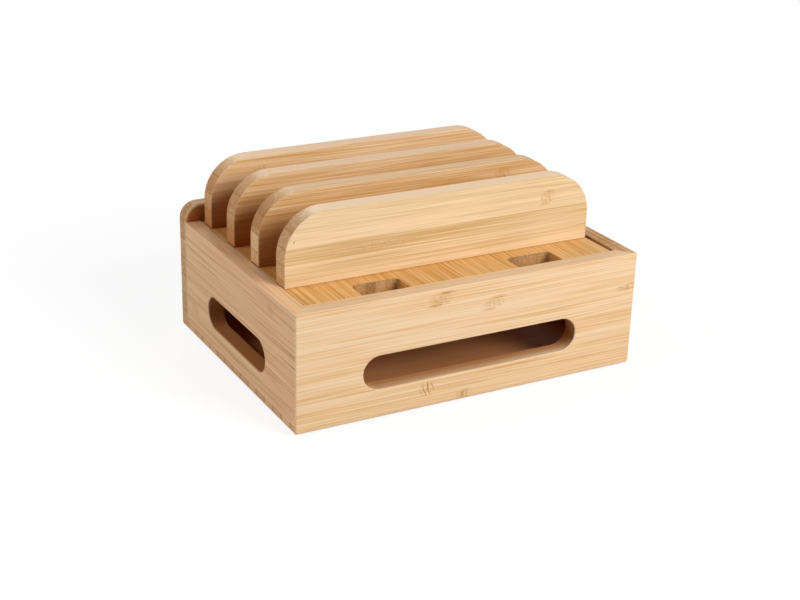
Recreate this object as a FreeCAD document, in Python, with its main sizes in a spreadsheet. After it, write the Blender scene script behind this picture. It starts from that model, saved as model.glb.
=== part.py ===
import FreeCAD, Part
import enum
import os
import re
import Sketcher

# Bamboo charging station organizer: a low box with cable slots in its walls, and a loose deck
# that drops into the box and carries four upright dividers. Millimetres, X along the front,
# Y to the back, Z up, origin on the resting plane under the middle of the box.

SIZES = {
    # Box, outside
    "box_width": 170.0,
    "box_depth": 130.0,
    "base_thickness": 4.2,
    "wall_height": 50.3,
    "wall_thickness": 7.5,
    "back_thickness": 8.5,
    "back_rise": 8.0,
    "back_corner_radius": 8.0,
    "back_ease": 1.2,
    # Eased edges
    "edge_ease": 0.5,
    "corner_ease": 0.6,
    "base_edge_radius": 1.5,
    # Cable slots in the walls
    "slot_height": 15.5,
    "slot_centre_height": 17.1,
    "front_slot_length": 107.0,
    "side_slot_length": 64.4,
    "side_slot_centre": 63.0,
    # Deck and its clearances in the box
    "deck_thickness": 7.5,
    "deck_drop": 0.2,
    "deck_left_gap": 0.5,
    "deck_right_gap": 1.7,
    "deck_front_gap": 0.3,
    "deck_rear_gap": 0.7,
    # Cable openings in the deck
    "cable_opening_width": 23.0,
    "cable_opening_depth": 11.7,
    "cable_opening_spacing": 77.0,
    "cable_opening_radius": 3.0,
    # Dividers
    "divider_thickness": 8.5,
    "divider_height": 32.2,
    "divider_corner_radius": 20.0,
    "divider_ease": 0.4,
    "front_shelf_depth": 20.2,
    "rear_margin": 3.3,
    # Cleats under the deck
    "cleat_width": 8.0,
    "cleat_height": 8.0,
    # Dowels between side walls and back panel
    "dowel_diameter": 4.0,
    "dowel_length": 16.0,
    "dowel_depth_in_back": 5.5,
    "dowel_chamfer": 0.5,
    "dowel_edge_distance": 8.0,
    # Brads between base board and walls
    "brad_diameter": 1.4,
    "brad_length": 18.0,
    "brad_head_diameter": 2.4,
    "brad_head_height": 0.8,
    "brad_point_length": 2.0,
    "brad_corner_distance": 20.0,
    # Screws between deck and dividers
    "screw_diameter": 3.5,
    "screw_length": 25.0,
    "screw_head_diameter": 7.0,
    "screw_point_length": 5.0,
    "screw_spacing": 100.0,
    "recess_span": 4.0,
    "recess_blade": 1.0,
    "recess_depth": 1.6,
    # Clearance round a fastener, and left beyond its end
    "fastener_clearance": 0.05,
    "fastener_end_gap": 0.25,
    # Stick-on feet
    "foot_diameter": 10.0,
    "foot_height": 1.5,
    "foot_ease": 0.5,
    "foot_inset": 14.0,
}

DIVIDERS = ("front_divider", "second_divider", "third_divider", "rear_divider")

# Places and sizes that follow from the driving sizes
BASE_TOP = "(foot_height + base_thickness)"
WALL_TOP = f"({BASE_TOP} + wall_height)"
WALL_LENGTH = "(box_depth - back_thickness)"
MID_WALL = "(wall_thickness / 2)"
BACK_FACE = "(box_depth / 2 - back_thickness)"
BACK_HEIGHT = "(base_thickness + wall_height + back_rise)"
DECK_WIDTH = "(box_width - 2 * wall_thickness - deck_left_gap - deck_right_gap)"
DECK_DEPTH = f"({WALL_LENGTH} - wall_thickness - deck_front_gap - deck_rear_gap)"
DECK_LEFT = "(wall_thickness + deck_left_gap - box_width / 2)"
DECK_FRONT = "(wall_thickness + deck_front_gap - box_depth / 2)"
DECK_TOP = f"({WALL_TOP} - deck_drop)"
DECK_BOTTOM = f"({DECK_TOP} - deck_thickness)"
DIVIDER_SPAN = f"({DECK_DEPTH} - front_shelf_depth - rear_margin - divider_thickness)"
DIVIDER_PITCH = f"({DIVIDER_SPAN} / {len(DIVIDERS) - 1})"
FIRST_OPENING = f"(front_shelf_depth + (divider_thickness + {DIVIDER_PITCH} - cable_opening_depth) / 2)"
DOWEL_LOW = "dowel_edge_distance"
DOWEL_HIGH = "(wall_height - dowel_edge_distance)"
DOWEL_DEPTH_IN_WALL = "(dowel_length - dowel_depth_in_back)"
BRAD_DEPTH_IN_WALL = "(brad_length - base_thickness)"
FRONT_BRADS = ("brad_corner_distance", "(box_width - brad_corner_distance)")
SIDE_BRADS = ("brad_corner_distance", f"({WALL_LENGTH} - brad_corner_distance)")
SCREW_DEPTH_IN_DIVIDER = "(screw_length - deck_thickness)"
SCREW_HEAD_HEIGHT = "((screw_head_diameter - screw_diameter) / 2)"

COUNTERSINK_ANGLE = 90.0
FULL_TURN = 360.0
SAME_PLACE = 0.001


class OwnAxis(enum.IntEnum):
    """Numbers by which a sketch knows its own axes; its origin is the start of the first."""

    ACROSS = -1
    UP = -2


class OnCurve(enum.IntEnum):
    """Numbers by which a sketch knows the points of a curve."""

    START = 1
    END = 2
    CENTRE = 3


doc = FreeCAD.newDocument("charging_station_organizer")


def make_sheet():
    """Write the driving sizes into a sheet, one named cell each."""
    made = doc.addObject("Spreadsheet::Sheet", "Sizes")
    for row, (name, length) in enumerate(SIZES.items(), start=1):
        made.set(f"A{row}", name)
        made.set(f"B{row}", str(length))
        made.setAlias(f"B{row}", name)
    doc.recompute()
    return made


sheet = make_sheet()


def formula(text):
    """Point every size named in a sum at its cell; a name before a bracket is a function."""
    return re.sub(r"[a-z_]+\b(?!\()", lambda found: f"Sizes.{found.group()}", text)


def number(text):
    """Work a sum out with the sheet's present sizes."""
    return float(sheet.evalExpression(formula(text)))


def bind(item, prop, text):
    """Tie one property of an object to the sheet."""
    item.setExpression(prop, formula(text))


def place(item, across, back, up):
    """Tie an object's place to the sheet."""
    for axis, text in zip("xyz", (across, back, up)):
        bind(item, f"Placement.Base.{axis}", text)


# Sketches


def start_sketch(body, plane, name, shift=("0", "0", "0")):
    """Start a sketch on one of the body's own planes, moved by shift in the sketch's own axes."""
    support = next(item for item in body.Origin.OriginFeatures if item.Role == plane)
    sketch = body.newObject("Sketcher::SketchObject", f"{body.Name}_{name}_outline")
    sketch.AttachmentSupport = [(support, "")]
    sketch.MapMode = "FlatFace"
    for axis, text in zip("xyz", shift):
        bind(sketch, f"AttachmentOffset.Base.{axis}", text)
    return sketch


def hold(sketch, kind, text, *where):
    """Add a dimension to a sketch and tie it to the sheet."""
    index = sketch.addConstraint(Sketcher.Constraint(kind, *where, number(text)))
    bind(sketch, f"Constraints[{index}]", text)


def pin(sketch, curve, point, across, up):
    """Hold a point of a curve at its distances from the sketch's origin."""
    for kind, axis, text in (("DistanceX", OwnAxis.UP, across), ("DistanceY", OwnAxis.ACROSS, up)):
        if text == "0":
            sketch.addConstraint(Sketcher.Constraint("PointOnObject", curve, point, axis))
        else:
            hold(sketch, kind, text, OwnAxis.ACROSS, OnCurve.START, curve, point)


def vector(across, up):
    """Give a point of a sketch at the sheet's present sizes."""
    return FreeCAD.Vector(number(across), number(up), 0)


def draw_polygon(sketch, points):
    """Draw a closed outline of straight lines through points given as sums."""
    corners = [vector(across, up) for across, up in points]
    lines = []
    for start, end in zip(corners, corners[1:] + corners[:1]):
        lines.append(sketch.addGeometry(Part.LineSegment(start, end), False))
    for line, following in zip(lines, lines[1:] + lines[:1]):
        sketch.addConstraint(Sketcher.Constraint("Coincident", line, OnCurve.END, following, OnCurve.START))
    for line, (across, up) in zip(lines, points):
        pin(sketch, line, OnCurve.START, across, up)


def draw_rectangle(sketch, left, low, width, height):
    """Draw a rectangle from its lower left corner."""
    right = f"({left} + {width})"
    high = f"({low} + {height})"
    draw_polygon(sketch, [(left, low), (right, low), (right, high), (left, high)])


def draw_circle(sketch, across, up, diameter):
    """Draw a circle about a point given as sums."""
    normal = FreeCAD.Vector(0, 0, 1)
    circle = sketch.addGeometry(Part.Circle(vector(across, up), normal, number(diameter) / 2), False)
    pin(sketch, circle, OnCurve.CENTRE, across, up)
    hold(sketch, "Diameter", diameter, circle)


def draw_slot(sketch, middle, up, length, height):
    """Draw a slot with full round ends, long way across, about its middle."""
    radius = f"({height} / 2)"
    left = f"({middle} - {length} / 2 + {radius})"
    right = f"({middle} + {length} / 2 - {radius})"
    top = f"({up} + {radius})"
    low = f"({up} - {radius})"
    left_arc = Part.Arc(vector(left, top), vector(f"({left} - {radius})", up), vector(left, low))
    right_arc = Part.Arc(vector(right, low), vector(f"({right} + {radius})", up), vector(right, top))
    left_end = sketch.addGeometry(left_arc, False)
    lower = sketch.addGeometry(Part.LineSegment(vector(left, low), vector(right, low)), False)
    right_end = sketch.addGeometry(right_arc, False)
    upper = sketch.addGeometry(Part.LineSegment(vector(right, top), vector(left, top)), False)
    ring = ((left_end, lower), (lower, right_end), (right_end, upper), (upper, left_end))
    for first, second in ring:
        sketch.addConstraint(Sketcher.Constraint("Tangent", first, OnCurve.END, second, OnCurve.START))
    sketch.addConstraint(Sketcher.Constraint("Equal", left_end, right_end))
    hold(sketch, "Radius", radius, left_end)
    pin(sketch, left_end, OnCurve.CENTRE, left, up)
    pin(sketch, right_end, OnCurve.CENTRE, right, up)


# Solid features


def start_body(label):
    """Start a sub-part of its own."""
    body = doc.addObject("PartDesign::Body", label)
    body.Label = label
    return body


def add_pad(body, sketch, length, flip=False):
    """Raise a sketch into a solid."""
    pad = body.newObject("PartDesign::Pad", f"{sketch.Name}_pad")
    pad.Profile = sketch
    pad.Reversed = flip
    bind(pad, "Length", length)
    doc.recompute()


def check_removed(body, before):
    """Stop where a cut has taken nothing away."""
    doc.recompute()
    if not before - body.Shape.Volume > SAME_PLACE:
        raise RuntimeError(f"a cut removes nothing from {body.Label}")


def add_pocket(body, sketch, depth=None, flip=False):
    """Cut a sketch into the body, to a depth or right through."""
    before = body.Shape.Volume
    pocket = body.newObject("PartDesign::Pocket", f"{sketch.Name}_pocket")
    pocket.Profile = sketch
    pocket.Reversed = flip
    if depth is None:
        pocket.Type = "ThroughAll"
    else:
        bind(pocket, "Length", depth)
    check_removed(body, before)
    return pocket


def lies_at(edge, **planes):
    """Tell whether an edge lies wholly in each plane given as axis=place."""
    box = edge.BoundBox
    for axis, text in planes.items():
        plane = number(text)
        for side in ("Min", "Max"):
            if abs(getattr(box, axis + side) - plane) > SAME_PLACE:
                return False
    return True


def runs_along(edge, axis):
    """Tell whether an edge is straight and runs along one axis."""
    box = edge.BoundBox
    return all(getattr(box, other + "Length") < SAME_PLACE for other in "XYZ" if other != axis)


def round_edges(body, name, radius, wanted):
    """Round every edge of the body's last feature that is wanted."""
    base = body.Tip
    edges = [f"Edge{index}" for index, edge in enumerate(base.Shape.Edges, start=1) if wanted(edge)]
    if not edges:
        raise RuntimeError(f"no edge to round for {name} on {body.Label}")
    fillet = body.newObject("PartDesign::Fillet", f"{body.Name}_{name}")
    fillet.Base = (base, edges)
    bind(fillet, "Radius", radius)
    doc.recompute()


def turn(label, profile):
    """Turn a solid about Z from its profile, given as radius and height from the axis and back."""
    body = start_body(label)
    sketch = start_sketch(body, "XZ_Plane", "profile")
    draw_polygon(sketch, profile)
    revolution = body.newObject("PartDesign::Revolution", f"{label}_turning")
    revolution.Profile = sketch
    revolution.ReferenceAxis = (sketch, ["V_Axis"])
    revolution.Angle = FULL_TURN
    doc.recompute()
    return body


def repeat(label, pattern, places, turn_over=None):
    """Gather copies of one fastener at several places into one sub-part."""
    copies = []
    for index, spot in enumerate(places, start=1):
        copy = doc.addObject("App::Link", f"{label}_{index}")
        copy.LinkedObject = pattern
        if turn_over is not None:
            copy.Placement = FreeCAD.Placement(FreeCAD.Vector(), turn_over)
        place(copy, *spot)
        copies.append(copy)
    group = doc.addObject("Part::Compound", label)
    group.Label = label
    group.Links = copies
    doc.recompute()
    return group


# Box


def make_base_board():
    """Board under the front and side walls, butted to the back panel, round along its lower edges."""
    body = start_body("base_board")
    outline = start_sketch(body, "XY_Plane", "board")
    draw_rectangle(outline, "0", "0", "box_width", WALL_LENGTH)
    add_pad(body, outline, "base_thickness")
    round_edges(body, "lower_edges", "base_edge_radius",
                lambda edge: lies_at(edge, Z="0") and not lies_at(edge, Y=WALL_LENGTH))
    corners = start_sketch(body, "XY_Plane", "corners")
    draw_polygon(corners, [("0", "0"), ("corner_ease", "0"), ("0", "corner_ease")])
    draw_polygon(corners, [
        ("(box_width - corner_ease)", "0"),
        ("box_width", "0"),
        ("box_width", "corner_ease"),
    ])
    add_pocket(body, corners, flip=True)
    holes = start_sketch(body, "XY_Plane", "brad_holes")
    heads = start_sketch(body, "XY_Plane", "brad_heads")
    for across, back in brad_spots():
        draw_circle(holes, across, back, "(brad_diameter + 2 * fastener_clearance)")
        draw_circle(heads, across, back, "(brad_head_diameter + 2 * fastener_clearance)")
    add_pocket(body, holes, flip=True)
    add_pocket(body, heads, "(brad_head_height + fastener_clearance)", flip=True)
    place(body, "(-box_width / 2)", "(-box_depth / 2)", "foot_height")
    return body


def brad_spots():
    """Brad places under the front and side walls, from the front left corner of the box."""
    spots = [(across, MID_WALL) for across in FRONT_BRADS]
    for across in (MID_WALL, f"(box_width - {MID_WALL})"):
        spots += [(across, back) for back in SIDE_BRADS]
    return spots


def drill_for_brads(body, spots):
    """Drill the brad holes into the lower edge of a wall."""
    holes = start_sketch(body, "XY_Plane", "brad_holes")
    for across, back in spots:
        draw_circle(holes, across, back, "(brad_diameter + 2 * fastener_clearance)")
    add_pocket(body, holes, f"({BRAD_DEPTH_IN_WALL} + fastener_end_gap)", flip=True)


def make_front_wall():
    """Front wall, mitred at both ends, with the long cable slot."""
    body = start_body("front_wall")
    outline = start_sketch(body, "XY_Plane", "wall")
    draw_polygon(outline, [
        ("corner_ease", "0"),
        ("(box_width - corner_ease)", "0"),
        ("(box_width - corner_ease / 2)", "(corner_ease / 2)"),
        ("(box_width - wall_thickness)", "wall_thickness"),
        ("wall_thickness", "wall_thickness"),
        ("(corner_ease / 2)", "(corner_ease / 2)"),
    ])
    add_pad(body, outline, "wall_height")
    slot = start_sketch(body, "XZ_Plane", "slot")
    draw_slot(slot, "(box_width / 2)", "slot_centre_height", "front_slot_length", "slot_height")
    add_pocket(body, slot)
    drill_for_brads(body, [(across, MID_WALL) for across in FRONT_BRADS])
    round_edges(body, "eased_edges", "edge_ease", lambda edge: lies_at(edge, Y="0") and (
        lies_at(edge, Z="wall_height") or is_slot_rim(edge)))
    place(body, "(-box_width / 2)", "(-box_depth / 2)", BASE_TOP)
    return body


def is_slot_rim(edge):
    """Tell whether an edge lies within the height of the wall slots."""
    middle = number("slot_centre_height")
    reach = number("slot_height") / 2 + SAME_PLACE
    box = edge.BoundBox
    return box.ZMin > middle - reach and box.ZMax < middle + reach


def make_side_wall(label, on_left):
    """Side wall, mitred at the front and butted to the back panel, with its cable slot."""
    outside = "0" if on_left else "wall_thickness"
    inside = "wall_thickness" if on_left else "0"
    tip = "(corner_ease / 2)" if on_left else "(wall_thickness - corner_ease / 2)"
    body = start_body(label)
    outline = start_sketch(body, "XY_Plane", "wall")
    draw_polygon(outline, [
        (outside, "corner_ease"),
        (tip, "(corner_ease / 2)"),
        (inside, "wall_thickness"),
        (inside, WALL_LENGTH),
        (outside, WALL_LENGTH),
    ])
    add_pad(body, outline, "wall_height")
    slot = start_sketch(body, "YZ_Plane", "slot")
    draw_slot(slot, "side_slot_centre", "slot_centre_height", "side_slot_length", "slot_height")
    add_pocket(body, slot, flip=True)
    dowels = start_sketch(body, "XZ_Plane", "dowel_holes", ("0", "0", f"(-{WALL_LENGTH})"))
    for up in (DOWEL_LOW, DOWEL_HIGH):
        draw_circle(dowels, MID_WALL, up, "(dowel_diameter + 2 * fastener_clearance)")
    add_pocket(body, dowels, f"({DOWEL_DEPTH_IN_WALL} + fastener_end_gap)", flip=True)
    drill_for_brads(body, [(MID_WALL, back) for back in SIDE_BRADS])
    round_edges(body, "eased_edges", "edge_ease", lambda edge: lies_at(edge, X=outside) and (
        lies_at(edge, Z="wall_height") or is_slot_rim(edge)))
    left_edge = "(-box_width / 2)" if on_left else "(box_width / 2 - wall_thickness)"
    place(body, left_edge, "(-box_depth / 2)", BASE_TOP)
    return body


def make_back_panel():
    """Back panel from the base's lower face to above the walls, with rounded upper corners."""
    body = start_body("back_panel")
    outline = start_sketch(body, "XZ_Plane", "panel")
    draw_rectangle(outline, "0", "0", "box_width", BACK_HEIGHT)
    add_pad(body, outline, "back_thickness", flip=True)
    dowels = start_sketch(body, "XZ_Plane", "dowel_holes")
    for across in (MID_WALL, f"(box_width - {MID_WALL})"):
        for up in (DOWEL_LOW, DOWEL_HIGH):
            draw_circle(dowels, across, f"(base_thickness + {up})",
                        "(dowel_diameter + 2 * fastener_clearance)")
    add_pocket(body, dowels, "(dowel_depth_in_back + fastener_end_gap)")
    round_edges(body, "upper_corners", "back_corner_radius",
                lambda edge: runs_along(edge, "Y") and lies_at(edge, Z=BACK_HEIGHT))
    round_edges(body, "lower_corners", "base_edge_radius",
                lambda edge: runs_along(edge, "Y") and lies_at(edge, Z="0"))
    round_edges(body, "eased_edges", "back_ease", lambda edge: is_panel_rim(edge, "back_thickness"))
    place(body, "(-box_width / 2)", BACK_FACE, "foot_height")
    return body


def is_panel_rim(edge, thickness):
    """Tell whether an edge runs round a panel's front or back face and is no drilled hole's rim."""
    on_face = lies_at(edge, Y="0") or lies_at(edge, Y=thickness)
    return on_face and not edge.isClosed()


def make_cleat(label, on_left):
    """Strip glued to a side wall below the deck, which rests on it."""
    cleat = doc.addObject("Part::Box", label)
    cleat.Label = label
    bind(cleat, "Length", "cleat_width")
    bind(cleat, "Width", f"({WALL_LENGTH} - wall_thickness)")
    bind(cleat, "Height", "cleat_height")
    inner_face = "(box_width / 2 - wall_thickness)"
    left_edge = f"(-{inner_face})" if on_left else f"({inner_face} - cleat_width)"
    place(cleat, left_edge, "(wall_thickness - box_depth / 2)", f"({DECK_BOTTOM} - cleat_height)")
    return cleat


def make_back_panel_dowels():
    """Dowels that join the ends of the side walls to the back panel."""
    radius = "(dowel_diameter / 2)"
    tip = f"({radius} - dowel_chamfer)"
    dowel = turn("dowel", [
        ("0", "0"),
        (tip, "0"),
        (radius, "dowel_chamfer"),
        (radius, "(dowel_length - dowel_chamfer)"),
        (tip, "dowel_length"),
        ("0", "dowel_length"),
    ])
    lying = FreeCAD.Rotation(FreeCAD.Vector(0, 0, 1), FreeCAD.Vector(0, 1, 0))
    front_end = f"({BACK_FACE} - {DOWEL_DEPTH_IN_WALL})"
    from_middle = f"(box_width / 2 - {MID_WALL})"
    spots = []
    for across in (f"(-{from_middle})", from_middle):
        for up in (DOWEL_LOW, DOWEL_HIGH):
            spots.append((across, front_end, f"({BASE_TOP} + {up})"))
    return repeat("back_panel_dowels", dowel, spots, lying)


def make_base_brads():
    """Brads driven up through the base board into the walls."""
    shank = "(brad_diameter / 2)"
    head = "(brad_head_diameter / 2)"
    brad = turn("brad", [
        ("0", "0"),
        (head, "0"),
        (head, "brad_head_height"),
        (shank, "brad_head_height"),
        (shank, "(brad_length - brad_point_length)"),
        ("0", "brad_length"),
    ])
    spots = []
    for across, back in brad_spots():
        spots.append((f"({across} - box_width / 2)", f"({back} - box_depth / 2)", "foot_height"))
    return repeat("base_brads", brad, spots)


def make_foot(label, on_left, at_front):
    """Round stick-on pad under a corner of the base board."""
    radius = "(foot_diameter / 2)"
    body = turn(label, [
        ("0", "0"),
        (radius, "0"),
        (radius, "foot_height"),
        ("0", "foot_height"),
    ])
    round_edges(body, "lower_rim", "foot_ease", lambda edge: lies_at(edge, Z="0"))
    across = "(foot_inset - box_width / 2)" if on_left else "(box_width / 2 - foot_inset)"
    back = "(foot_inset - box_depth / 2)" if at_front else f"({BACK_FACE} - foot_inset)"
    place(body, across, back, "0")
    return body


# Deck


def make_deck_board():
    """Loose deck with two open cable notches at its front and two cable openings in each bay."""
    body = start_body("deck_board")
    outline = start_sketch(body, "XY_Plane", "board")
    draw_rectangle(outline, "0", "0", DECK_WIDTH, DECK_DEPTH)
    add_pad(body, outline, "deck_thickness")
    notches = start_sketch(body, "XY_Plane", "notches")
    openings = start_sketch(body, "XY_Plane", "openings")
    for middle in (f"({DECK_WIDTH} / 2 - cable_opening_spacing / 2)",
                   f"({DECK_WIDTH} / 2 + cable_opening_spacing / 2)"):
        left = f"({middle} - cable_opening_width / 2)"
        draw_rectangle(notches, left, "0", "cable_opening_width", "cable_opening_depth")
        for bay in range(len(DIVIDERS) - 1):
            front = f"({FIRST_OPENING} + {bay} * {DIVIDER_PITCH})"
            draw_rectangle(openings, left, front, "cable_opening_width", "cable_opening_depth")
    add_pocket(body, notches, flip=True)
    add_pocket(body, openings, flip=True)
    round_edges(body, "opening_corners", "cable_opening_radius", is_opening_corner)
    holes = start_sketch(body, "XY_Plane", "screw_holes")
    for index in range(len(DIVIDERS)):
        back = f"(front_shelf_depth + divider_thickness / 2 + {index} * {DIVIDER_PITCH})"
        for across in screw_places(DECK_WIDTH):
            draw_circle(holes, across, back, "screw_diameter")
    drill_countersunk(body, holes)
    round_edges(body, "eased_edges", "edge_ease", is_deck_rim)
    place(body, DECK_LEFT, DECK_FRONT, DECK_BOTTOM)
    return body


def is_opening_corner(edge):
    """Tell whether an upright edge of the deck is a corner of an opening and not of its outline."""
    on_outline = lies_at(edge, Y="0") or lies_at(edge, Y=DECK_DEPTH)
    return runs_along(edge, "Z") and not on_outline


def is_deck_rim(edge):
    """Tell whether an edge runs along the top of the deck's outline."""
    on_outline = (lies_at(edge, X="0") or lies_at(edge, X=DECK_WIDTH)
                  or lies_at(edge, Y="0") or lies_at(edge, Y=DECK_DEPTH))
    return on_outline and lies_at(edge, Z="deck_thickness")


def screw_places(width):
    """Places of a divider's two screws along its length."""
    return (f"({width} / 2 - screw_spacing / 2)", f"({width} / 2 + screw_spacing / 2)")


def drill_countersunk(body, sketch):
    """Drill countersunk screw holes up through the deck at the sketch's circles."""
    before = body.Shape.Volume
    hole = body.newObject("PartDesign::Hole", f"{sketch.Name}_drilling")
    hole.Profile = sketch
    hole.ThreadType = "None"
    hole.DepthType = "ThroughAll"
    hole.HoleCutType = "Countersink"
    hole.HoleCutCountersinkAngle = COUNTERSINK_ANGLE
    hole.Reversed = True
    bind(hole, "Diameter", "(screw_diameter + 2 * fastener_clearance)")
    bind(hole, "HoleCutDiameter", "(screw_head_diameter + 2 * fastener_clearance)")
    check_removed(body, before)


def make_divider(label, index):
    """Upright divider with large round upper corners and eased edges."""
    body = start_body(label)
    outline = start_sketch(body, "XZ_Plane", "panel")
    draw_rectangle(outline, "0", "0", DECK_WIDTH, "divider_height")
    add_pad(body, outline, "divider_thickness", flip=True)
    pilots = start_sketch(body, "XY_Plane", "screw_pilots")
    for across in screw_places(DECK_WIDTH):
        draw_circle(pilots, across, "(divider_thickness / 2)", "(screw_diameter + 2 * fastener_clearance)")
    add_pocket(body, pilots, f"({SCREW_DEPTH_IN_DIVIDER} + fastener_end_gap)", flip=True)
    round_edges(body, "upper_corners", "min(divider_corner_radius; divider_height - divider_ease)",
                lambda edge: runs_along(edge, "Y") and lies_at(edge, Z="divider_height"))
    round_edges(body, "eased_edges", "divider_ease", lambda edge: is_panel_rim(edge, "divider_thickness")
                and not lies_at(edge, Z="0"))
    back = f"({DECK_FRONT} + front_shelf_depth + {index} * {DIVIDER_PITCH})"
    place(body, DECK_LEFT, back, DECK_TOP)
    return body


def make_divider_screws():
    """Countersunk screws with a cross recess, driven up through the deck into the dividers."""
    shank = "(screw_diameter / 2)"
    screw = turn("screw", [
        ("0", "0"),
        ("(screw_head_diameter / 2)", "0"),
        (shank, SCREW_HEAD_HEIGHT),
        (shank, "(screw_length - screw_point_length)"),
        ("0", "screw_length"),
    ])
    half_span = "(-recess_span / 2)"
    near = "(recess_span / 2 - recess_blade / 2)"
    far = "(recess_span / 2 + recess_blade / 2)"
    span = "recess_span"
    recess = start_sketch(screw, "XY_Plane", "recess", (half_span, half_span, "0"))
    draw_polygon(recess, [
        (near, "0"), (far, "0"), (far, near), (span, near), (span, far), (far, far),
        (far, span), (near, span), (near, far), ("0", far), ("0", near), (near, near),
    ])
    add_pocket(screw, recess, "recess_depth", flip=True)
    spots = []
    for index in range(len(DIVIDERS)):
        mid_divider = f"(front_shelf_depth + divider_thickness / 2 + {index} * {DIVIDER_PITCH})"
        for across in screw_places(DECK_WIDTH):
            spots.append((f"({DECK_LEFT} + {across})", f"({DECK_FRONT} + {mid_divider})", DECK_BOTTOM))
    return repeat("divider_screws", screw, spots)


def make_parts():
    """Make every sub-part of the organizer."""
    parts = [
        make_base_board(),
        make_front_wall(),
        make_side_wall("left_wall", on_left=True),
        make_side_wall("right_wall", on_left=False),
        make_back_panel(),
        make_cleat("left_cleat", on_left=True),
        make_cleat("right_cleat", on_left=False),
        make_back_panel_dowels(),
        make_base_brads(),
        make_deck_board(),
        make_divider_screws(),
    ]
    for row, at_front in (("front", True), ("rear", False)):
        for side, on_left in (("left", True), ("right", False)):
            parts.append(make_foot(f"{row}_{side}_foot", on_left, at_front))
    for index, label in enumerate(DIVIDERS):
        parts.append(make_divider(label, index))
    doc.recompute()
    return parts


def check(parts):
    """Stop if any object failed or any sub-part has no sound shape."""
    for item in doc.Objects:
        if "Invalid" in item.State or "Error" in item.State:
            raise RuntimeError(f"{item.Label} failed: {item.State}")
    for part in parts:
        if part.Shape.isNull() or not part.Shape.isValid() or not part.Shape.Solids:
            raise RuntimeError(f"{part.Label} has no sound solid")


def write(parts):
    """Write each sub-part to a file of its own."""
    os.makedirs("parts", exist_ok=True)
    for part in parts:
        part.Shape.exportStep(f"parts/{part.Label}.step")
        print(part.Label, len(part.Shape.Solids), round(part.Shape.Volume, 1))


organizer = make_parts()
check(organizer)
write(organizer)
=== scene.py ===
"""Bamboo charging station organizer: its boards, its finishes and the studio that shows it."""

import logging
import math
import random
from collections.abc import Callable, Iterable, Mapping, Sequence
from dataclasses import dataclass
from enum import Enum
from functools import cache, reduce
from typing import ClassVar, NamedTuple

import bmesh
import bpy
from bmesh.types import BMEdge, BMesh, BMFace, BMVert
from mathutils import Matrix, Quaternion, Vector


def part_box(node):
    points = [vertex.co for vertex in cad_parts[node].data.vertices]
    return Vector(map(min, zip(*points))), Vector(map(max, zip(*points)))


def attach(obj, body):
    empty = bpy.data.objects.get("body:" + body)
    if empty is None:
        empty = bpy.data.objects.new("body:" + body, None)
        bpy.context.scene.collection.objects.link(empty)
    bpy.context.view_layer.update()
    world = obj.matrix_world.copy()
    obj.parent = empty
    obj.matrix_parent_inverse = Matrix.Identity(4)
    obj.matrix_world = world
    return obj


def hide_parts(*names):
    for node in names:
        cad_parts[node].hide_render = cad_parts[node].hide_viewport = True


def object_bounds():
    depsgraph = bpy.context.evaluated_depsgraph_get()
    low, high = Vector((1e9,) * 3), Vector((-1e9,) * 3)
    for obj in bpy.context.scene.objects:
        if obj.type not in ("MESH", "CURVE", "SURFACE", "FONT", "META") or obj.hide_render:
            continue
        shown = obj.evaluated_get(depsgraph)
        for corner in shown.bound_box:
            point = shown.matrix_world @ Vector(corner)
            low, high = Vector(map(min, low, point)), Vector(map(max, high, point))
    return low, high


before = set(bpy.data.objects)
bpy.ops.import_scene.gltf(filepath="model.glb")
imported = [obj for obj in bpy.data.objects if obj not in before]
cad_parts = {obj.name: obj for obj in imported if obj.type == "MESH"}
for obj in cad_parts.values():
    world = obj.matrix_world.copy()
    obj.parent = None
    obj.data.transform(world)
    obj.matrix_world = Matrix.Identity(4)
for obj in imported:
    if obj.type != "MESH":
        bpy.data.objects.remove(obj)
CAD_LOW, CAD_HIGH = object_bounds()

Socket = bpy.types.NodeSocket
Value = float | Sequence[float] | Socket
Colour = tuple[float, float, float]
Place = tuple[float, float]
Span = tuple[float, float]

MM = 0.001
PER_MM = (1.0 / MM,) * 3
SIDES = (-1.0, 1.0)
SAME_PLACE = 0.005 * MM
FLAT_FACE = 0.999
ROUND_PROFILE = 0.5
ARC_SEGMENTS = 14
CORNER_SEGMENTS = 20
EASE_SEGMENTS = 4
SHARP_ANGLE = math.radians(35)
FLAT_ANGLE = SHARP_ANGLE / ARC_SEGMENTS
EVEN_WEIGHT = 100
EASED = "eased"

# Reach of the painted shade in the shady rooms.
HOLLOW_DEPTH = Vector((6.3, 1.5, 0.0)) * MM
HOLLOW_FADE = Vector((1.2, 5.0, 4.0)) * MM
BAY_RISE = 11.0 * MM
BAY_FADE = Vector((0.4, 0.3, 22.0)) * MM
REAR_RISE = 1.2 * MM
REAR_FADE = Vector((0.4, 0.3, 20.0)) * MM
FOOT_FADE = Vector((0.4, 3.0, 0.3)) * MM

log = logging.getLogger("organizer")


@cache
def extent(node: str) -> tuple[Vector, Vector]:
    """Lowest and highest corner of a part of the frame."""
    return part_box(node)


def close_to(first: float, second: float) -> bool:
    """Tell whether two places are the same but for rounding."""
    return abs(first - second) < SAME_PLACE


class Axis(Enum):
    """The frame's axes: X along the front, Y to the back, Z up."""

    X = 0
    Y = 1
    Z = 2

    @property
    def vector(self) -> Vector:
        """Unit vector along the axis."""
        return Vector([float(axis is self) for axis in Axis])

    @property
    def others(self) -> "tuple[Axis, Axis]":
        """The two axes square to this one."""
        first, second = (axis for axis in Axis if axis is not self)
        return first, second


# Shady rooms, where shade is painted into the wood


@dataclass(frozen=True)
class Room:
    """A shady room of the organizer, where shade is painted into the wood's colour as a darker brown.

    Attributes:
        low: Lowest corner.
        high: Highest corner.
        fade: How far the painted shade reaches past the corners, along each axis.
    """

    low: Vector
    high: Vector
    fade: Vector


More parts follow.
